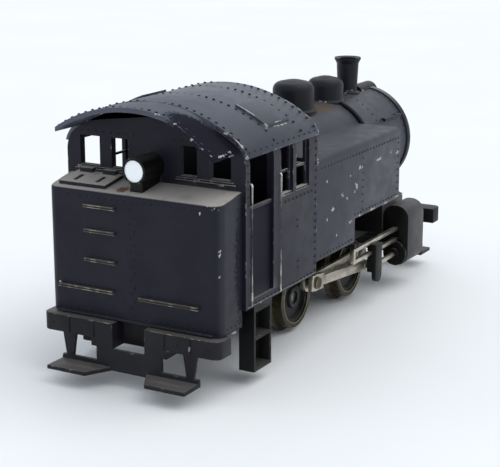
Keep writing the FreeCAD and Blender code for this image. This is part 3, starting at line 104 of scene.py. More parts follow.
class Finish:
    """A procedural material, with short names for the nodes that it is made of."""

    def __init__(self, name, metallic=0.0, specular=0.5, roughness=0.5):
        self.material = bpy.data.materials.new(name)
        self.material.use_nodes = True
        self.tree = self.material.node_tree
        self.shader = self.tree.nodes["Principled BSDF"]
        self.put(self.shader.inputs["Metallic"], metallic)
        self.put(self.shader.inputs["Specular IOR Level"], specular)
        self.put(self.shader.inputs["Roughness"], roughness)
        self.place = self.add("ShaderNodeTexCoord").outputs["Object"]

    def add(self, kind, **settings):
        """A new shader node with its settings."""
        node = self.tree.nodes.new(kind)
        for name, value in settings.items():
            setattr(node, name, value)
        return node

    def put(self, socket, value):
        """Link a socket to another, or set it to a constant."""
        if isinstance(value, bpy.types.NodeSocket):
            self.tree.links.new(value, socket)
        else:
            socket.default_value = value

    def calc(self, operation, *values, clamp=False):
        """The result of a Math node."""
        node = self.add("ShaderNodeMath", operation=operation, use_clamp=clamp)
        for socket, value in zip(node.inputs, values):
            self.put(socket, value)
        return node.outputs[0]

    def between(self, value, low, high, start=0.0, end=1.0):
        """A value turned smoothly from start to end as it goes from low to high."""
        node = self.add("ShaderNodeMapRange", interpolation_type="SMOOTHSTEP")
        for name, number in (("Value", value), ("From Min", low), ("From Max", high),
                             ("To Min", start), ("To Max", end)):
            self.put(node.inputs[name], number)
        return node.outputs[0]

    def noise(self, size, low, high, detail=4.0, stretch=(1, 1, 1), shift=0.0):
        """Clouds about size millimetres across, 0 below one level and 1 above another."""
        mapping = self.add("ShaderNodeMapping")
        self.put(mapping.inputs["Vector"], self.place)
        self.put(mapping.inputs["Location"], (shift, shift, shift))
        self.put(mapping.inputs["Scale"], tuple(1 / share for share in stretch))
        texture = self.add("ShaderNodeTexNoise")
        self.put(texture.inputs["Vector"], mapping.outputs[0])
        self.put(texture.inputs["Scale"], 1 / (size * MM))
        self.put(texture.inputs["Detail"], detail)
        return self.between(texture.outputs["Fac"], low, high)

    def edges(self, reach):
        """How near a point is to an outer edge, from 0 on a flat face to about 0.5."""
        node = self.add("ShaderNodeAmbientOcclusion", inside=True, only_local=True, samples=6)
        self.put(node.inputs["Distance"], reach * MM)
        return self.calc("SUBTRACT", 1.0, node.outputs["AO"])

    def hollows(self, reach):
        """How deep a point lies in a corner or beside a rivet."""
        node = self.add("ShaderNodeAmbientOcclusion", samples=6)
        self.put(node.inputs["Distance"], reach * MM)
        return self.calc("SUBTRACT", 1.0, node.outputs["AO"])

    def facing(self, axis, low, high):
        """0 to 1 as the share of the surface's normal along an axis goes from low to high."""
        split = self.add("ShaderNodeSeparateXYZ")
        self.put(split.inputs[0], self.add("ShaderNodeNewGeometry").outputs["Normal"])
        return self.between(split.outputs[axis], low, high)

    def mix(self, share, first, second):
        """One colour, going over to a second one as share goes from 0 to 1."""
        node = self.add("ShaderNodeMix", data_type="RGBA")
        self.put(node.inputs[0], share)
        self.put_colour(node.inputs[6], first)
        self.put_colour(node.inputs[7], second)
        return node.outputs[2]

    def put_colour(self, socket, value):
        self.put(socket, value if isinstance(value, bpy.types.NodeSocket) else (*value, 1))

    def spot(self, centre, radii, ragged=1.3):
        """1 inside a ragged blot round a point, its centre and radii in millimetres."""
        offset = self.add("ShaderNodeVectorMath", operation="SUBTRACT")
        self.put(offset.inputs[0], self.place)
        self.put(offset.inputs[1], tuple(value * MM for value in centre))
        scaled = self.add("ShaderNodeVectorMath", operation="MULTIPLY")
        self.put(scaled.inputs[0], offset.outputs[0])
        self.put(scaled.inputs[1], tuple(1 / (radius * MM) for radius in radii))
        length = self.add("ShaderNodeVectorMath", operation="LENGTH")
        self.put(length.inputs[0], scaled.outputs[0])
        cloud = self.noise(0.42, 0.25, 0.75, detail=3)
        reach = self.calc("MULTIPLY_ADD", cloud, ragged, length.outputs["Value"])
        return self.between(reach, 1.15, 0.95)

    def bump(self, height, depth):
        """Relief on the surface, depth millimetres for a height of 1."""
        node = self.add("ShaderNodeBump")
        self.put(node.inputs["Height"], height)
        self.put(node.inputs["Distance"], depth * MM)
        self.put(self.shader.inputs["Normal"], node.outputs[0])

    def colour(self, value):
        self.put_colour(self.shader.inputs["Base Color"], value)

    def rough(self, value):
        self.put(self.shader.inputs["Roughness"], value)


INK = (0.0070, 0.0069, 0.0138)
INK_LIGHT = (0.0104, 0.0103, 0.0192)
# Near black, for black paint, and as painted shade on the cylinders' rear faces
BLACK_AND_SHADE = (0.0035, 0.0033, 0.0036)
BARE = (0.42, 0.41, 0.40)
DUST = (0.37, 0.345, 0.32)
BROWN = (0.085, 0.062, 0.044)
RUBBED = (0.125, 0.108, 0.088)

# Roughness and specular level where the painted shade is full
PAINTED_SHADE_ROUGHNESS = 0.9
PAINTED_SHADE_SPECULAR = 0.08
CHIP_METALLIC = 0.5
PAINT_GRAIN = 0.010
METAL_GRAIN = 0.006
GRIME = 0.5


def painted(name, dark, light, dust=0.4, worn=0.5, roughness=(0.40, 0.52), spots=(),
            bare=BARE, specular=0.2, shades=(), streaks=(), cover=(0.1, 0.45), behind=None,
            beside=None, flank=(0.5, 0.9)):
    """Thin matte paint on cast metal: dusty on top, rubbed bright along its edges.

    spots are chips, though two of the cab's are a painted highlight; streaks are stains; shades
    are painted shade, drawn towards INK with a lower specular level and more roughness. Each is a
    centre and radii in millimetres, and then how strong a shade is or what colour a stain has.
    cover says how much noise it takes to lay dust. behind is a colour for the faces that look
    rearwards, as painted shade; beside is one for those that look left or right, as painted light
    on the cab's sides and painted shade on the roof's flanks; flank is where beside starts and
    where it is full.
    """
    finish = Finish(name, specular=specular)
    colour = finish.mix(finish.noise(9, 0.3, 0.7), dark, light)
    # Painted light and shade by facing: faces that look left or right get another colour
    if beside:
        right = finish.facing("Y", -flank[0], -flank[1])
        sideways = finish.calc("MAXIMUM", finish.facing("Y", *flank), right)
        colour = finish.mix(sideways, colour, beside)
    dust_cloud = finish.noise(3.2, *cover, detail=6, shift=5)
    lying = finish.calc("MULTIPLY", finish.facing("Z", 0.6, 0.97), dust_cloud)
    packed = finish.calc("MULTIPLY", finish.between(finish.hollows(0.9), 0.3, 0.8), 0.15)
    dusty = finish.calc("MULTIPLY", finish.calc("MAXIMUM", lying, packed), dust, clamp=True)
    colour = finish.mix(dusty, colour, DUST)
    for centre, radii, stain in streaks:
        colour = finish.mix(finish.spot(centre, radii, 0.6), colour, stain)
    # Painted shade: each shade draws the colour towards INK, and the strongest sets a duller
    # sheen
    painted_shade_max = 0.0
    for centre, radii, share in shades:
        painted_shade = finish.calc("MULTIPLY", finish.spot(centre, radii, 0.15), share)
        colour = finish.mix(painted_shade, colour, INK)
        painted_shade_max = finish.calc("MAXIMUM", painted_shade_max, painted_shade)
    # Painted shade on the faces that look rearwards
    if behind:
        colour = finish.mix(finish.facing("X", -0.3, -0.75), colour, behind)
    near_edge = finish.edges(0.4)
    scuffs = finish.noise(1.6, 0.35, 0.75, detail=5, shift=9)
    rubbed = finish.calc("MULTIPLY", finish.between(near_edge, 0.2, 0.42), scuffs)
    chipped = finish.between(rubbed, 0.75 - 0.5 * worn, 1.05 - 0.5 * worn)
    for centre, radii in spots:
        chipped = finish.calc("MAXIMUM", chipped, finish.spot(centre, radii))
    finish.colour(finish.mix(chipped, colour, bare))
    finish.put(finish.shader.inputs["Metallic"], finish.calc("MULTIPLY", chipped, CHIP_METALLIC))
    matt = finish.between(finish.noise(2.4, 0.2, 0.8, detail=5, shift=21), 0, 1, *roughness)
    painted_shade_roughness = finish.calc("MULTIPLY", painted_shade_max, PAINTED_SHADE_ROUGHNESS)
    finish.rough(finish.calc("MAXIMUM", finish.calc("MAXIMUM", matt, dusty), painted_shade_roughness))
    finish.put(finish.shader.inputs["Specular IOR Level"],
               finish.between(painted_shade_max, 0, 1, specular, PAINTED_SHADE_SPECULAR))
    grain = finish.noise(0.22, 0.0, 1.0, detail=3, shift=27)
    finish.bump(finish.calc("SUBTRACT", grain, chipped), PAINT_GRAIN)
    return finish.material


def metal(name, dark, light, tarnish, roughness=(0.25, 0.45), streaks=(1, 1, 1), bright=None):
    """Plain or plated metal with fine streaks, tarnish in its hollows and brighter edges.

    streaks says how much longer the clouds are along each axis than they would be.
    """
    finish = Finish(name, metallic=1.0)
    colour = finish.mix(finish.noise(1.1, 0.25, 0.75, stretch=streaks), dark, light)
    colour = finish.mix(finish.calc("MULTIPLY", finish.noise(2.6, 0.4, 0.75, shift=4), GRIME),
                        colour, tarnish)
    dirt = finish.between(finish.hollows(0.6), 0.25, 0.8)
    colour = finish.mix(finish.calc("MULTIPLY", dirt, GRIME), colour, tarnish)
    if bright:
        colour = finish.mix(finish.between(finish.edges(0.3), 0.2, 0.45), colour, bright)
    finish.colour(colour)
    finish.put(finish.shader.inputs["Metallic"], finish.between(dirt, 0, 1, 0.95, 0.4))
    finish.rough(finish.between(finish.noise(0.8, 0.2, 0.8, stretch=streaks, shift=8), 0, 1,
                                *roughness))
    finish.bump(finish.noise(0.12, 0.2, 0.8, stretch=streaks, shift=12), METAL_GRAIN)
    return finish.material


def plastic(name, dark, light, roughness=(0.3, 0.5), size=0.8):
    """A plain non-metal with a little cloud and grain."""
    finish = Finish(name)
    finish.colour(finish.mix(finish.noise(size, 0.25, 0.75), dark, light))
    finish.rough(finish.between(finish.noise(size / 2, 0.2, 0.8, shift=6), 0, 1, *roughness))
    finish.bump(finish.noise(0.1, 0.2, 0.8, shift=12), 0.005)
    return finish.material


# Places of chips, soot and stains: centre, then radii, in millimetres
SIDE_Y = -17.3
TANK_SPOTS = [
    ((5.3, SIDE_Y, 29.6), (1.5, 0.5, 0.5)), ((3.6, SIDE_Y, 26.4), (0.8, 0.5, 1.1)),
    ((3.0, SIDE_Y, 25.4), (0.7, 0.5, 0.5)), ((22.0, SIDE_Y, 29.6), (0.9, 0.5, 0.7)),
    ((13.6, SIDE_Y, 29.8), (1.6, 0.5, 0.35)), ((-8.7, SIDE_Y, 29.6), (0.35, 0.5, 0.5)),
    ((-2.3, SIDE_Y, 25.9), (0.5, 0.5, 0.8)), ((-0.3, SIDE_Y, 25.0), (0.4, 0.5, 0.4)),
    ((22.1, SIDE_Y, 20.8), (1.3, 0.6, 0.5)), ((17.2, SIDE_Y, 20.5), (2.0, 0.5, 0.4)),
    ((10.8, SIDE_Y, 20.5), (1.9, 0.5, 0.35)), ((5.4, SIDE_Y, 20.4), (1.5, 0.5, 0.35)),
    ((-6.2, SIDE_Y, 24.0), (1.0, 0.5, 0.5)), ((-4.4, SIDE_Y, 19.0), (0.4, 0.5, 0.4)),
    ((1.2, SIDE_Y, 20.2), (1.0, 0.5, 0.35)), ((-8.4, SIDE_Y, 22.6), (0.4, 0.5, 0.6)),
    ((0.9, SIDE_Y, 28.9), (0.6, 0.5, 0.3)), ((19.0, SIDE_Y, 30.2), (0.6, 0.5, 0.3)),
    ((23.3, -16.6, 23.0), (0.6, 0.6, 1.6)), ((23.5, -16.9, 28.6), (0.3, 0.5, 3.4)),
    ((-12.1, SIDE_Y, 33.6), (0.6, 0.6, 0.6)),
]
CAB_SPOTS = [
    ((-44.5, -15.6, 31.9), (0.7, 0.9, 0.35)), ((-44.5, -14.4, 32.3), (0.6, 1.1, 0.25)),
    # The two tall spots at the bunker's rear right corner are a painted highlight on its rounded
    # edge, in the bare metal colour
    ((-44.5, -13.0, 30.9), (0.4, 0.4, 0.35)), ((-44.0, -16.2, 24.8), (0.35, 0.35, 1.5)),
    ((-44.0, -16.2, 21.2), (0.3, 0.3, 0.9)), ((-44.6, 14.6, 15.9), (0.4, 0.4, 0.4)),
    ((-37.9, -17.2, 31.9), (0.3, 0.4, 0.4)),
]
ROOF_SPOTS = [
    ((-44.5, -11.6, 42.6), (0.4, 0.5, 0.5)), ((-44.4, -13.3, 41.2), (0.5, 0.45, 0.45)),
    ((-44.3, -14.9, 40.1), (0.4, 0.4, 0.35)), ((-41.5, -15.35, 39.8), (2.0, 0.3, 0.3)),
    ((-39.2, -15.2, 40.0), (0.9, 0.35, 0.4)), ((-44.5, -8.4, 44.7), (0.35, 0.5, 0.3)),
    ((-37.6, -17.6, 39.2), (0.5, 0.5, 1.4)), ((-37.6, -16.6, 40.9), (0.5, 0.8, 0.7)),
    ((-44.5, -5.2, 45.9), (0.5, 0.9, 0.3)), ((-37.6, -14.0, 42.6), (0.5, 1.3, 0.5)),
    ((-27.1, -15.0, 42.0), (0.4, 0.9, 0.9)), ((-22.0, -15.3, 41.7), (3.4, 0.3, 0.35)),
]
# Painted shadow that the roof casts on the visor's right wing
VISOR_SHADE = [((-42.0, -14.0, 40.5), (4.6, 10.0, 10.0), 0.9)]
# Painted shade in the recessed door panels on both sides
DOOR_SHADE = [((-32.4, side * 16.5, 22.0), (8.0, 0.55, 16.0), 0.72) for side in SIDES]
DECK_STAINS = [((-42.6, 2.9, 32.7), (1.6, 1.3, 0.6), (0.16, 0.10, 0.065))]
BOILER_STAINS = [((18.2, -3.0, 37.8), (4.2, 3.0, 1.6), BROWN),
                 ((3.0, -9.0, 33.2), (5.0, 1.2, 1.0), BROWN),
                 ((-11.8, -16.4, 34.2), (0.9, 1.1, 0.5), DUST)]
TREAD_STAINS = [((-48.4, across, 3.3), (0.6, 4.6, 0.4), RUBBED) for across in (8.6, -8.6)]

FINISHES = {
    "body_paint": painted("body_paint", INK, INK_LIGHT, worn=0.25),
    # Lighter on the faces that look left or right: painted light on the cab's and bunker's sides
    "cab_paint": painted("cab_paint", INK, INK_LIGHT, dust=1.0, worn=0.3, spots=CAB_SPOTS,
                         cover=(-0.05, 0.5), beside=(0.0205, 0.0215, 0.0290),
                         shades=DOOR_SHADE, streaks=DECK_STAINS),
    "rivet_paint": painted("rivet_paint", INK, INK_LIGHT, dust=0.1, worn=-1.0),
    # A lighter copy of the black paint as painted sheen from the light above, on the roof and its
    # hatches; the darker flanks are painted shade
    "roof_paint": painted("roof_paint", (0.060, 0.069, 0.094), (0.074, 0.084, 0.112), dust=0.03,
                          worn=0.4, roughness=(0.38, 0.46), spots=ROOF_SPOTS,
                          specular=0.3, shades=VISOR_SHADE, beside=(0.027, 0.031, 0.045),
                          flank=(0.28, 0.66)),
    # A lighter copy of the black paint: painted light on the tanks, boiler and smokebox
    "tank_paint": painted("tank_paint", (0.034, 0.0355, 0.0470), (0.042, 0.0440, 0.0570),
                          dust=0.05, worn=0.45, spots=TANK_SPOTS, streaks=BOILER_STAINS),
    "dome_paint": painted("dome_paint", (0.0095, 0.0098, 0.0140), (0.0130, 0.0135, 0.0190),
                          dust=0.05, worn=0.2),
    "black_paint": painted("black_paint", BLACK_AND_SHADE, (0.006, 0.0057, 0.006), dust=0.1, worn=0.15),
    "pilot_paint": painted("pilot_paint", (0.0088, 0.0083, 0.0115), (0.0130, 0.0120, 0.0155),
                           dust=0.22, worn=0.62, streaks=TREAD_STAINS),
    "chassis_metal": painted("chassis_metal", (0.006, 0.0056, 0.006), (0.010, 0.0092, 0.0092),
                             dust=0.15, worn=0.0),
    # A lighter copy of the black paint as painted light on the cylinders' sides; their rear faces
    # get painted shade
    "cylinder_paint": painted("cylinder_paint", (0.036, 0.036, 0.037), (0.055, 0.055, 0.056),
                              dust=0.08, worn=0.3, behind=BLACK_AND_SHADE),
    "iron_paint": painted("iron_paint", (0.20, 0.195, 0.17), (0.52, 0.50, 0.44), dust=0.0,
                          worn=1.1, roughness=(0.35, 0.5), bare=(0.8, 0.79, 0.74),
                          specular=0.4),
    "edge_metal": painted("edge_metal", (0.012, 0.012, 0.013), (0.45, 0.44, 0.41), dust=0.0,
                          worn=1.0, bare=(0.6, 0.59, 0.56), specular=0.4),
    "rung_paint": painted("rung_paint", (0.012, 0.011, 0.010), (0.024, 0.021, 0.017), dust=0.3,
                          worn=0.1),
    "rung_edge": painted("rung_edge", (0.030, 0.026, 0.020), (0.17, 0.15, 0.115), dust=0.0,
                         worn=0.75, bare=(0.36, 0.32, 0.25), specular=0.3),
    "nickel": metal("nickel", (0.42, 0.385, 0.31), (0.62, 0.57, 0.48), (0.12, 0.10, 0.07),
                    streaks=(4, 1, 1), roughness=(0.3, 0.48), bright=(0.82, 0.78, 0.70)),
    "tyre_metal": metal("tyre_metal", (0.052, 0.044, 0.026), (0.095, 0.082, 0.050),
                        (0.022, 0.018, 0.012), roughness=(0.38, 0.55),
                        bright=(0.42, 0.38, 0.27)),
    "wheel_grey": painted("wheel_grey", (0.0075, 0.0072, 0.0072), (0.0140, 0.0134, 0.0130),
                          dust=0.08, worn=0.35),
    "steel": metal("steel", (0.30, 0.30, 0.30), (0.48, 0.48, 0.48), (0.08, 0.07, 0.06),
                   streaks=(1, 4, 4)),
    "brass": metal("brass", (0.42, 0.31, 0.12), (0.62, 0.48, 0.22), (0.12, 0.08, 0.03)),
    "copper": metal("copper", (0.36, 0.13, 0.05), (0.55, 0.24, 0.11), (0.10, 0.03, 0.015),
                    streaks=(6, 1, 1), roughness=(0.2, 0.35)),
    "magnet_metal": metal("magnet_metal", (0.045, 0.045, 0.048), (0.08, 0.08, 0.083),
                          (0.03, 0.028, 0.025), roughness=(0.5, 0.7)),
    "fibre": plastic("fibre", (0.10, 0.045, 0.02), (0.16, 0.075, 0.035)),
    "carbon": plastic("carbon", (0.012, 0.012, 0.013), (0.03, 0.03, 0.031)),
    "lens": plastic("lens", (0.91, 0.96, 0.99), (0.97, 0.99, 1.0), roughness=(0.3, 0.5),
                    size=0.5),
}
NODE_FINISH = {
    "cab_and_bunker": "cab_paint", "cab_roof": "roof_paint", "roof_hatches": "roof_paint",
    "boiler_and_tanks": "tank_paint", "cab_grab_irons": "iron_paint",
    "bunker_hatch": "cab_paint", "bunker_rungs": "rung_paint", "steam_dome": "dome_paint",
    "sand_dome": "dome_paint", "chimney": "dome_paint", "sand_pipes": "black_paint",
    "smokebox_rails": "black_paint", "rear_headlight": "black_paint",
    "front_headlight": "black_paint", "rear_pilot": "pilot_paint", "front_pilot": "black_paint",
    "cylinder_casting": "cylinder_paint", "cylinder_covers": "black_paint",
    "crosshead_left": "black_paint", "crosshead_right": "black_paint",
    "cab_steps": "black_paint", "rear_crankpins": "tyre_metal", "pole_pieces": "magnet_metal",
    "guide_yoke": "black_paint",
}


# Meshes -----------------------------------------------------------------------------------------

def keep(name, mesh_data, finish, body=SHELL, nodes=()):
    """Make an object of a bmesh in millimetres, riding on its body."""
    bmesh.ops.scale(mesh_data, vec=(MM, MM, MM), verts=mesh_data.verts)
    bmesh.ops.recalc_face_normals(mesh_data, faces=mesh_data.faces)
    mesh = bpy.data.meshes.new(name)
    mesh_data.to_mesh(mesh)
    mesh_data.free()
    mesh.shade_smooth()
    mesh.set_sharp_from_angle(angle=SHARP)
    item = bpy.data.objects.new(name, mesh)
    bpy.context.scene.collection.objects.link(item)
    mesh.materials.append(FINISHES[finish])
    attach(item, body)
    if nodes:
        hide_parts(*nodes)


def node_copy(node):
    """A CAD node's mesh in millimetres, its flat faces joined into whole ones."""
    made = bmesh.new()
    made.from_mesh(frame["nodes"][node].data)
    bmesh.ops.scale(made, vec=(1 / MM, 1 / MM, 1 / MM), verts=made.verts)
    bmesh.ops.remove_doubles(made, verts=made.verts, dist=0.003)
    bmesh.ops.dissolve_limit(made, angle_limit=FLAT, verts=made.verts, edges=made.edges)
    return made


def soften(made, width, chosen=None, segments=2):
    """Round the hard edges of a mesh, all of them or those that a test picks."""
    hard = [edge for edge in made.edges
            if edge.is_manifold and edge.calc_face_angle(0) > SHARP
            and (chosen is None or chosen(edge))]
    bmesh.ops.bevel(made, geom=hard, offset=width, offset_type="OFFSET", segments=segments,
                    profile=0.5, affect="EDGES", clamp_overlap=False, loop_slide=True)


def box_into(made, low, high, rounding, tilt=Matrix()):
    """Add a box between two corners to a mesh, with rounded edges."""
    low, high = Vector(low), Vector(high)
    piece = bmesh.new()
    bmesh.ops.create_cube(piece, size=1)
    bmesh.ops.scale(piece, vec=high - low, verts=piece.verts)
    bmesh.ops.bevel(piece, geom=piece.edges[:], offset=rounding, segments=2, profile=0.5,
                    affect="EDGES")
    bmesh.ops.transform(piece, matrix=tilt, verts=piece.verts)
    bmesh.ops.translate(piece, vec=(low + high) / 2, verts=piece.verts)
    join(made, piece)


def join(made, piece):
    """Move one bmesh's faces into another."""
    carrier = bpy.data.meshes.new("carrier")
    piece.to_mesh(carrier)
    piece.free()
    made.from_mesh(carrier)
    bpy.data.meshes.remove(carrier)


def round_points(radius, steps):
    """The points of a circle, as pairs."""
    return [(radius * math.cos(math.tau * k / steps), radius * math.sin(math.tau * k / steps))
            for k in range(steps)]


def skin_into(made, rings):
    """Join each ring of points to the next with faces."""
    for lower, upper in zip(rings, rings[1:]):
        for k in range(len(lower)):
            after = (k + 1) % len(lower)
            made.faces.new((lower[k], lower[after], upper[after], upper[k]))


def lathe_into(made, profile, centre, steps):
    """Add a closed piece turned round the X axis; profile is (radius, along) pairs."""
    turn = Matrix.Rotation(math.pi / 2, 4, "Y")
    piece = bmesh.new()
    rings = []
    for radius, along in profile:
        if radius == 0:
            rings.append([piece.verts.new((0, 0, along))])
        else:
            rings.append([piece.verts.new((*point, along)) for point in
                          round_points(radius, steps)])
    for lower, upper in zip(rings, rings[1:]):
        for k in range(steps):
            ring = [lower[k % len(lower)], lower[(k + 1) % len(lower)],
                    upper[(k + 1) % len(upper)], upper[k % len(upper)]]
            piece.faces.new(dict.fromkeys(ring))
    bmesh.ops.transform(piece, matrix=turn, verts=piece.verts)
    bmesh.ops.translate(piece, vec=centre, verts=piece.verts)
    join(made, piece)


def tube_into(made, points, radius, steps=10):
    """Add a round wire along points, its ends closed."""
    points = [Vector(point) for point in points]
    piece = bmesh.new()
    rings = []
    for index, point in enumerate(points):
        ahead = points[min(index + 1, len(points) - 1)] - points[max(index - 1, 0)]
        turn = ahead.to_track_quat("Z", "Y").to_matrix()
        rings.append([piece.verts.new(point + turn @ Vector((*place, 0)))
                      for place in round_points(radius, steps)])
    skin_into(piece, rings)
    piece.faces.new(rings[0])
    piece.faces.new(rings[-1])
    join(made, piece)


SURFACES = {}


def surface(node):
    """A CAD node as a search tree, in millimetres."""
    if node not in SURFACES:
        made = bmesh.new()
        made.from_mesh(frame["nodes"][node].data)
        bmesh.ops.scale(made, vec=(1 / MM, 1 / MM, 1 / MM), verts=made.verts)
        SURFACES[node] = BVHTree.FromBMesh(made)
        made.free()
    return SURFACES[node]


def top_of(node, station, across):
    """The highest point of a CAD node at a place seen from above, or None."""
    return surface(node).ray_cast(Vector((station, across, ABOVE)), Vector((0, 0, -1)))[0]


RIVET_STEPS = 10
# Each ring of a rivet, from its foot up: shares of its radius and of its height
RIVET_RINGS = ((1.0, -0.35), (0.93, 0.3), (0.66, 0.78))


def rivet_into(made, node, start, direction, radius, height):
    """Set a domed rivet where a line from start meets a CAD node's surface."""
    place, normal, _, _ = surface(node).ray_cast(Vector(start), Vector(direction))
    if place is None:
        return
    turn = normal.to_track_quat("Z", "Y").to_matrix()
    radius *= rng.uniform(0.92, 1.06)
    height *= rng.uniform(0.85, 1.1)
    rings = []
    for share, level in RIVET_RINGS:
        rings.append([made.verts.new(place + turn @ Vector((*point, height * level)))
                      for point in round_points(radius * share, RIVET_STEPS)])
    tip = made.verts.new(place + turn @ Vector((0, 0, height)))
    made.faces.new(reversed(rings[0]))
    skin_into(made, rings)
    for k in range(RIVET_STEPS):
        made.faces.new((rings[-1][k], rings[-1][(k + 1) % RIVET_STEPS], tip))


def steps_between(first, last, spacing):
    """Evenly spaced places from first to last, about spacing apart."""
    count = max(1, round(abs(last - first) / spacing))
    return [first + (last - first) * index / count for index in range(count + 1)]


# The CAD pieces with their edges rounded --------------------------------------------------------

SOFTNESS = {
    "cab_roof": 0.1, "cab_and_bunker": 0.12, "boiler_and_tanks": 0.14, "bunker_hatch": 0.1,
    "bunker_rungs": 0.06, "cab_steps": 0.08, "rear_pilot": 0.12, "front_pilot": 0.12,
    "cylinder_casting": 0.14, "guide_bars": 0.08, "guide_yoke": 0.1, "crosshead_left": 0.1,
    "crosshead_right": 0.1, "side_rod_left": 0.07, "side_rod_right": 0.07,
    "main_rod_left": 0.07, "main_rod_right": 0.07, "chassis_frame": 0.12, "keeper_plate": 0.1,
    "roof_hatches": 0.12, "motor_magnet": 0.2, "pole_pieces": 0.1, "smokebox_front": 0.2,
    "brush_holders": 0.06, "motor_bracket_front": 0.08, "motor_bracket_rear": 0.08,
}


def dress_nodes():
    """Give every CAD node its finish; those with hard edges are copied with rounded ones."""
    for node, item in frame["nodes"].items():
        finish = NODE_FINISH.get(node, SLOT_OF[node])
        if node not in SOFTNESS:
            item.data.materials.clear()
            item.data.materials.append(FINISHES[finish])
            continue
        made = node_copy(node)
        chosen = None
        if node == "cab_and_bunker":
            soften(made, 0.5, is_deck_edge, segments=4)
            chosen = is_bunker_edge
        soften(made, SOFTNESS[node], chosen)
        stay_inside(made, node)
        keep(node + "_shape", made, finish, BODY_OF[node], [node])


def stay_inside(made, node):
    """Keep a mesh's points inside a CAD node's box."""
    low, high = corners(node)
    for vertex in made.verts:
        vertex.co = [min(max(value, least), most)
                     for value, least, most in zip(vertex.co, low, high)]


def is_deck_edge(edge):
    """True for the bunker's top rear edge and its rounded corners."""
    middle = (edge.verts[0].co + edge.verts[1].co) / 2
    return middle.x < -42.4 and middle.z > 31.5


def is_bunker_edge(edge):
    """True for the edges behind the cab's rear wall."""
    return all(vertex.co.x < -38.2 for vertex in edge.verts)


# Rivets -----------------------------------------------------------------------------------------

def roof_rivets():
    """Rows across the roof and one along each eave, lower where the roof is highest."""
    made = bmesh.new()
    node = "cab_roof"
    (rear, _, _), (front, half, top) = corners(node)
    rows = {rear + 0.75: 1.35, -37.0: 1.35, -27.9: 1.4, -18.3: 1.4, front - 0.9: 1.35}
    for station, spacing in rows.items():
        for across in steps_between(-half + 0.7, half - 0.7, spacing):
            place = top_of(node, station, across)
            room = top - place.z if place else 0
            rivet_into(made, node, (station, across, ABOVE), (0, 0, -1), 0.27,
                       min(0.24, 0.03 + room / 1.15))
    for side in SIDES:
        for station in steps_between(-36.6, front - 1.2, 1.9):
            rivet_into(made, node, (station, side * ASIDE, 39.6), (0, -side, 0), 0.2, 0.12)
    for vertex in made.verts:
        vertex.co.z = min(vertex.co.z, top)
    keep("roof_rivets", made, "rivet_paint")


def bunker_rivets():
    """A staggered seam up the bunker's rear, a row round its top and foot, and its sides."""
    made = bmesh.new()
    node = "cab_and_bunker"
    ahead = (1, 0, 0)
    upper, lower = 31.35, 11.9
    for index, level in enumerate(steps_between(12.3, 31.2, 1.15)):
        rivet_into(made, node, (-BEYOND, 0.35 if index % 2 else -0.45, level), ahead, 0.2, 0.15)
    for across in steps_between(-13.8, 13.8, 1.25):
        rivet_into(made, node, (-BEYOND, across, upper), ahead, 0.19, 0.13)
        rivet_into(made, node, (-BEYOND, across, lower), ahead, 0.19, 0.13)
    for side in SIDES:
        for level in steps_between(12.4, 31.0, 1.5):
            rivet_into(made, node, (-39.0, side * ASIDE, level), (0, -side, 0), 0.19, 0.13)
        for station in steps_between(-42.4, -38.6, 1.25):
            rivet_into(made, node, (station, side * ASIDE, lower), (0, -side, 0), 0.19, 0.13)
    keep("bunker_rivets", made, "rivet_paint")


def cab_rivets():
    """The seam before the tanks, rows below the windows and at the foot, and the rear wall's."""
    made = bmesh.new()
    node = "cab_and_bunker"
    for side in SIDES:
        inward = (0, -side, 0)

        def put(station, level, size):
            rivet_into(made, node, (station, side * ASIDE, level), inward, size, 0.16)

        for level in steps_between(14.6, 40.2, 1.3):
            put(SEAM, level, 0.3)
        for station in steps_between(-25.6, -14.6, 1.3):
            put(station, 29.2, 0.27)
        for station, levels in ((-19.8, (25.2, 24.0)), (-19.6, (17.9, 16.8))):
            for level in levels:
                put(station, level, 0.23)
        for station in steps_between(-35.6, -14.4, 1.3):
            put(station, 14.4, 0.2)
        for level in steps_between(31.2, 37.6, 1.3):
            put(-36.95, level, 0.18)
        for across in steps_between(3.9, 15.8, 1.4):
            rivet_into(made, node, (BEHIND_CAB, side * across, 40.7), (1, 0, 0), 0.18, 0.12)
    keep("cab_rivets", made, "rivet_paint")


def tank_rivets():
    """Seams round each tank's side and two bands of rivets over the smokebox."""
    made = bmesh.new()
    node = "boiler_and_tanks"
    for side in SIDES:
        inward = (0, -side, 0)
        for level in steps_between(21.6, 31.2, 1.4):
            rivet_into(made, node, (6.4, side * ASIDE, level), inward, 0.19, 0.13)
        for station in steps_between(-10.8, 22.4, 1.3):
            rivet_into(made, node, (station, side * ASIDE, 32.4), inward, 0.19, 0.13)
            edge_level = 16.6 if station < 3.0 else 21.1
            rivet_into(made, node, (station, side * ASIDE, edge_level), inward, 0.19, 0.13)
        for level in steps_between(22.2, 31.4, 1.4):
            rivet_into(made, node, (22.6, side * ASIDE, level), inward, 0.19, 0.13)
    for angle in range(-80, 81, 8):
        turn = math.radians(angle)
        out = Vector((0, math.sin(turn), math.cos(turn)))
        for station in (31.4, 42.2):
            start = Vector((station, 0, SMOKEBOX_LEVEL)) + out * ASIDE
            rivet_into(made, node, start, -out, 0.2, 0.13)
    keep("tank_rivets", made, "rivet_paint")


# Cab and bunker relief --------------------------------------------------------------------------

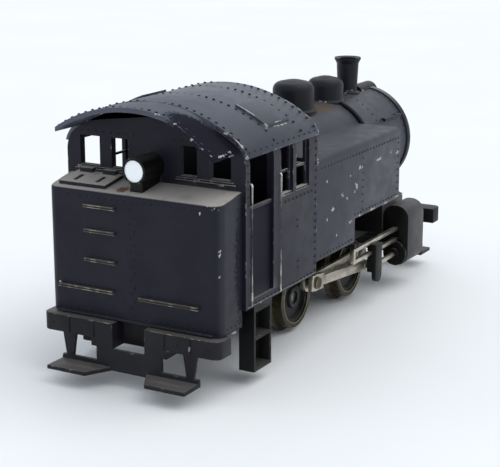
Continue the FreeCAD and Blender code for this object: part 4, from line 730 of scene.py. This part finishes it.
def cab_frames():
    """Window sills and posts, door rails and the beading at the cab's foot."""
    made = bmesh.new()
    for side in SIDES:
        def slab(low, high, rounding):
            """A box given for the left side, mirrored to the right when needed."""
            if side == RIGHT:
                low, high = (low[0], -high[1], low[2]), (high[0], -low[1], high[2])
            box_into(made, low, high, rounding)

        slab((CAB_REAR - 0.45, 4.2, 34.0), (CAB_REAR + 0.3, 15.6, 34.35), 0.12)
        slab((CAB_REAR - 0.22, 4.4, 34.35), (CAB_REAR + 0.3, 15.2, 34.7), 0.1)
        for rear, front in PANES:
            for station in (rear, front - 0.4):
                slab((station, 16.2, 30.5), (station + 0.4, 16.7, 38.5), 0.06)
        for rear, front in PANES:
            slab((rear, 16.15, 34.0), (front, 16.6, 34.4), 0.06)
            slab((rear, 16.1, 30.3), (front, 17.15, 30.62), 0.08)
        slab((DOORWAY[0], 16.35, 30.0), (DOORWAY[1], 17.0, 30.55), 0.1)
        slab((-37.3, 17.2, 13.95), (-12.8, 17.42, 14.15), 0.04)
    keep("cab_frames", made, "cab_paint")


def bunker_relief():
    """The beading at the bunker's foot and the dark straps that hinge its hatch."""
    made = bmesh.new()
    low, high = BUNKER_FOOT
    box_into(made, (-44.95, -15.2, low), (-44.5, 15.2, high), 0.1)
    for side in SIDES:
        place = side * BUNKER_SIDE
        box_into(made, (-43.1, place - 0.15, low), (-37.8, place + 0.15, high), 0.1)
    keep("bunker_beading", made, "rivet_paint")
    straps = bmesh.new()
    for across in (8.1, 12.5):
        rear, front = (top_of("bunker_hatch", station, across) for station in (-42.0, -40.5))
        slope = Matrix.Rotation(-math.atan2(front.z - rear.z, front.x - rear.x), 4, "Y")
        middle = (rear + front) / 2
        size = Vector((1.15, 0.3, 0.12))
        box_into(straps, middle - size, middle + size, 0.08, slope)
    keep("hatch_straps", straps, "black_paint")


def rung_edges():
    """Rubbed edges of the bunker's rungs and rails, with a drop of solder at their right ends."""
    made = bmesh.new()
    face = corners("bunker_rungs")[0].x
    for start, end, top in RUNGS:
        for level in (top - 0.06, top - 0.44):
            tube_into(made, [(face + 0.03, across, level)
                             for across in steps_between(start - 0.1, end + 0.1, 1.0)], 0.06, 8)
        lathe_into(made, [(0, -0.14), (0.17, -0.1), (0.24, 0.06), (0.2, 0.2), (0, 0.22)],
                   Vector((face + 0.22, end + 0.2, top - 0.42)), 16)
    keep("rung_edges", made, "rung_edge")


def grab_irons():
    """Thin bent wires close to the cab's sides, either side of each door."""
    made = bmesh.new()
    low, high, bend, foot, out = 14.2, 34.4, 0.3, 17.1, 17.55
    for side in SIDES:
        for station in (-36.0, -26.2):
            tube_into(made, [(station, side * foot, low), (station, side * (out - 0.1), low),
                             (station, side * out, low + bend),
                             (station, side * out, high - bend),
                             (station, side * (out - 0.1), high), (station, side * foot, high)],
                      0.15)
    keep("grab_iron_wires", made, "iron_paint",
         nodes=["cab_grab_irons"])


def worn_lines():
    """Thin lines of rubbed metal along edges of the roof and of its right hatch cover."""
    made = bmesh.new()
    front = corners("cab_roof")[1].x
    for station, start, end in ((front - 0.04, 17.5, 9.0), (-37.66, 17.5, 14.0)):
        places = [top_of("cab_roof", station, across)
                  for across in steps_between(-start, -end, 0.25)]
        tube_into(made, [place - Vector((0, 0, 0.04)) for place in places if place], 0.07, 6)
    rear_edge = [(-26.96, -across) for across in steps_between(9.4, 15.1, 0.3)]
    outer_edge = [(station, -15.1) for station in steps_between(-24.5, -19.4, 0.3)]
    for edge in (rear_edge, outer_edge):
        tube_into(made, [top_of("roof_hatches", *place) - Vector((0, 0, 0.05))
                         for place in edge], 0.08, 6)
    keep("roof_worn_edges", made, "edge_metal")


# Pilots and smokebox ----------------------------------------------------------------------------

def pilot_relief():
    """Ribs on the beams' faces, bolts beside them and the rear beam's rubbed edge."""
    made = bmesh.new()
    for node, facing in (("rear_pilot", -1), ("front_pilot", 1)):
        top = corners(node)[1].z
        face = facing * BEAM_FACE
        for across in (-11.8, 11.8, -6.9, 6.9):
            box_into(made, (face - 0.14, across - 0.16, top - 2.9),
                     (face + 0.14, across + 0.16, top - 0.15), 0.06)
        for across in (-15.2, -9.4, 9.4, 15.2):
            rivet_into(made, node, (facing * BEYOND, across, top - 1.5), (-facing, 0, 0),
                       0.26, 0.16)
    keep("pilot_ribs", made, "chassis_metal")
    worn = bmesh.new()
    station, level = BEAM_TOP_EDGE
    for start, end in ((-4.4, -13.8), (6.2, 3.4)):
        tube_into(worn, [(station, across, level) for across in steps_between(start, end, 0.8)],
                  0.06, 8)
    keep("pilot_worn_edge", worn, "rung_edge")


def smokebox_relief():
    """The smokebox door's straps, dogs and handwheel, and the bolts round its front."""
    made = bmesh.new()
    level = SMOKEBOX_LEVEL
    for rise in (-3.2, 3.2):
        for across, deep in ((-4.6, 0.45), (-2.3, 0.82), (0.0, 0.95), (2.3, 0.82), (4.6, 0.45)):
            box_into(made, (SMOKEBOX_FACE + 0.1, across - 1.25, level + rise - 0.4),
                     (SMOKEBOX_FACE + 0.25 + deep, across + 1.25, level + rise + 0.4), 0.12)
    for index in range(16):
        turn = math.tau * (index + 0.5) / 16
        across, up = BOLT_RING * math.cos(turn), BOLT_RING * math.sin(turn)
        rivet_into(made, "smokebox_front", (BEYOND, across, level + up), (-1, 0, 0), 0.32, 0.24)
    for across, up in round_points(DOOR_RADIUS + 0.35, 8):
        box_into(made, (SMOKEBOX_FACE, across - 0.42, level + up - 0.42),
                 (SMOKEBOX_FACE + 0.55, across + 0.42, level + up + 0.42), 0.14)
    keep("smokebox_dogs", made, "body_paint")
    wheel = bmesh.new()
    centre = Vector((0, 0, level))
    lathe_into(wheel, [(0, 45.5), (0.34, 45.5), (0.34, 46.3), (0, 46.38)], centre, 24)

    def rim(turn):
        return (HANDWHEEL_PLACE, HANDWHEEL * math.cos(turn), level + HANDWHEEL * math.sin(turn))

    tube_into(wheel, [rim(math.tau * k / 32) for k in range(33)], 0.14, 8)
    for index in range(4):
        tube_into(wheel, [(HANDWHEEL_PLACE, 0, level), rim(math.tau * (index + 0.5) / 4)], 0.1, 8)
    keep("smokebox_handwheel", wheel, "steel")


# The scene --------------------------------------------------------------------------------------

FLOOR_HALF = 4.0
SKY = (0.885, 0.94, 1.0, 1)
SKY_STRENGTH = 0.88
SUN_STRENGTH = 1.15
SUN_COLOUR = (1.0, 0.985, 0.96)
SUN_SPREAD = math.radians(55)
SUN_AHEAD = (-0.25, 0.50, -0.90)
CAMERA_PLACE = (-225.18, -123.46, 82.61)
CAMERA_YAW = math.radians(29.347)
CAMERA_PITCH = math.radians(14.531)
LENS = 100.8
SENSOR = 36


def stage():
    """The pale floor, whose half width is in metres, and the soft light."""
    mesh = bpy.data.meshes.new("floor")
    half = FLOOR_HALF
    mesh.from_pydata([(-half, -half, 0), (half, -half, 0), (half, half, 0), (-half, half, 0)],
                     [], [(0, 1, 2, 3)])
    floor = bpy.data.objects.new("floor", mesh)
    bpy.context.scene.collection.objects.link(floor)
    finish = Finish("floor", specular=0.25, roughness=0.55)
    finish.colour(finish.mix(finish.noise(60, 0.2, 0.8), (0.87, 0.88, 0.89), (0.90, 0.91, 0.92)))
    mesh.materials.append(finish.material)
    world = bpy.data.worlds.new("studio")
    bpy.context.scene.world = world
    world.use_nodes = True
    sky = world.node_tree.nodes["Background"]
    sky.inputs["Color"].default_value = SKY
    sky.inputs["Strength"].default_value = SKY_STRENGTH
    sun = bpy.data.lights.new("key", "SUN")
    sun.angle = SUN_SPREAD
    sun.energy = SUN_STRENGTH
    sun.color = SUN_COLOUR
    lamp = bpy.data.objects.new("key", sun)
    bpy.context.scene.collection.objects.link(lamp)
    lamp.rotation_euler = Vector(SUN_AHEAD).to_track_quat("-Z", "Y").to_euler()


def camera():
    """The view from behind and to the right of the model, a little above it."""
    data = bpy.data.cameras.new("camera")
    item = bpy.data.objects.new("camera", data)
    bpy.context.scene.collection.objects.link(item)
    data.lens = LENS
    data.sensor_width = SENSOR
    ahead = Vector((math.cos(CAMERA_YAW) * math.cos(CAMERA_PITCH),
                    math.sin(CAMERA_YAW) * math.cos(CAMERA_PITCH), -math.sin(CAMERA_PITCH)))
    item.location = Vector(CAMERA_PLACE) * MM
    item.rotation_euler = ahead.to_track_quat("-Z", "Y").to_euler()
    data.clip_start, data.clip_end = 0.01, 20
    bpy.context.scene.camera = item


dress_nodes()
roof_rivets()
bunker_rivets()
cab_rivets()
tank_rivets()
cab_frames()
bunker_relief()
rung_edges()
grab_irons()
worn_lines()
pilot_relief()
smokebox_relief()
stage()
camera()
bpy.context.scene.view_settings.view_transform = "Standard"
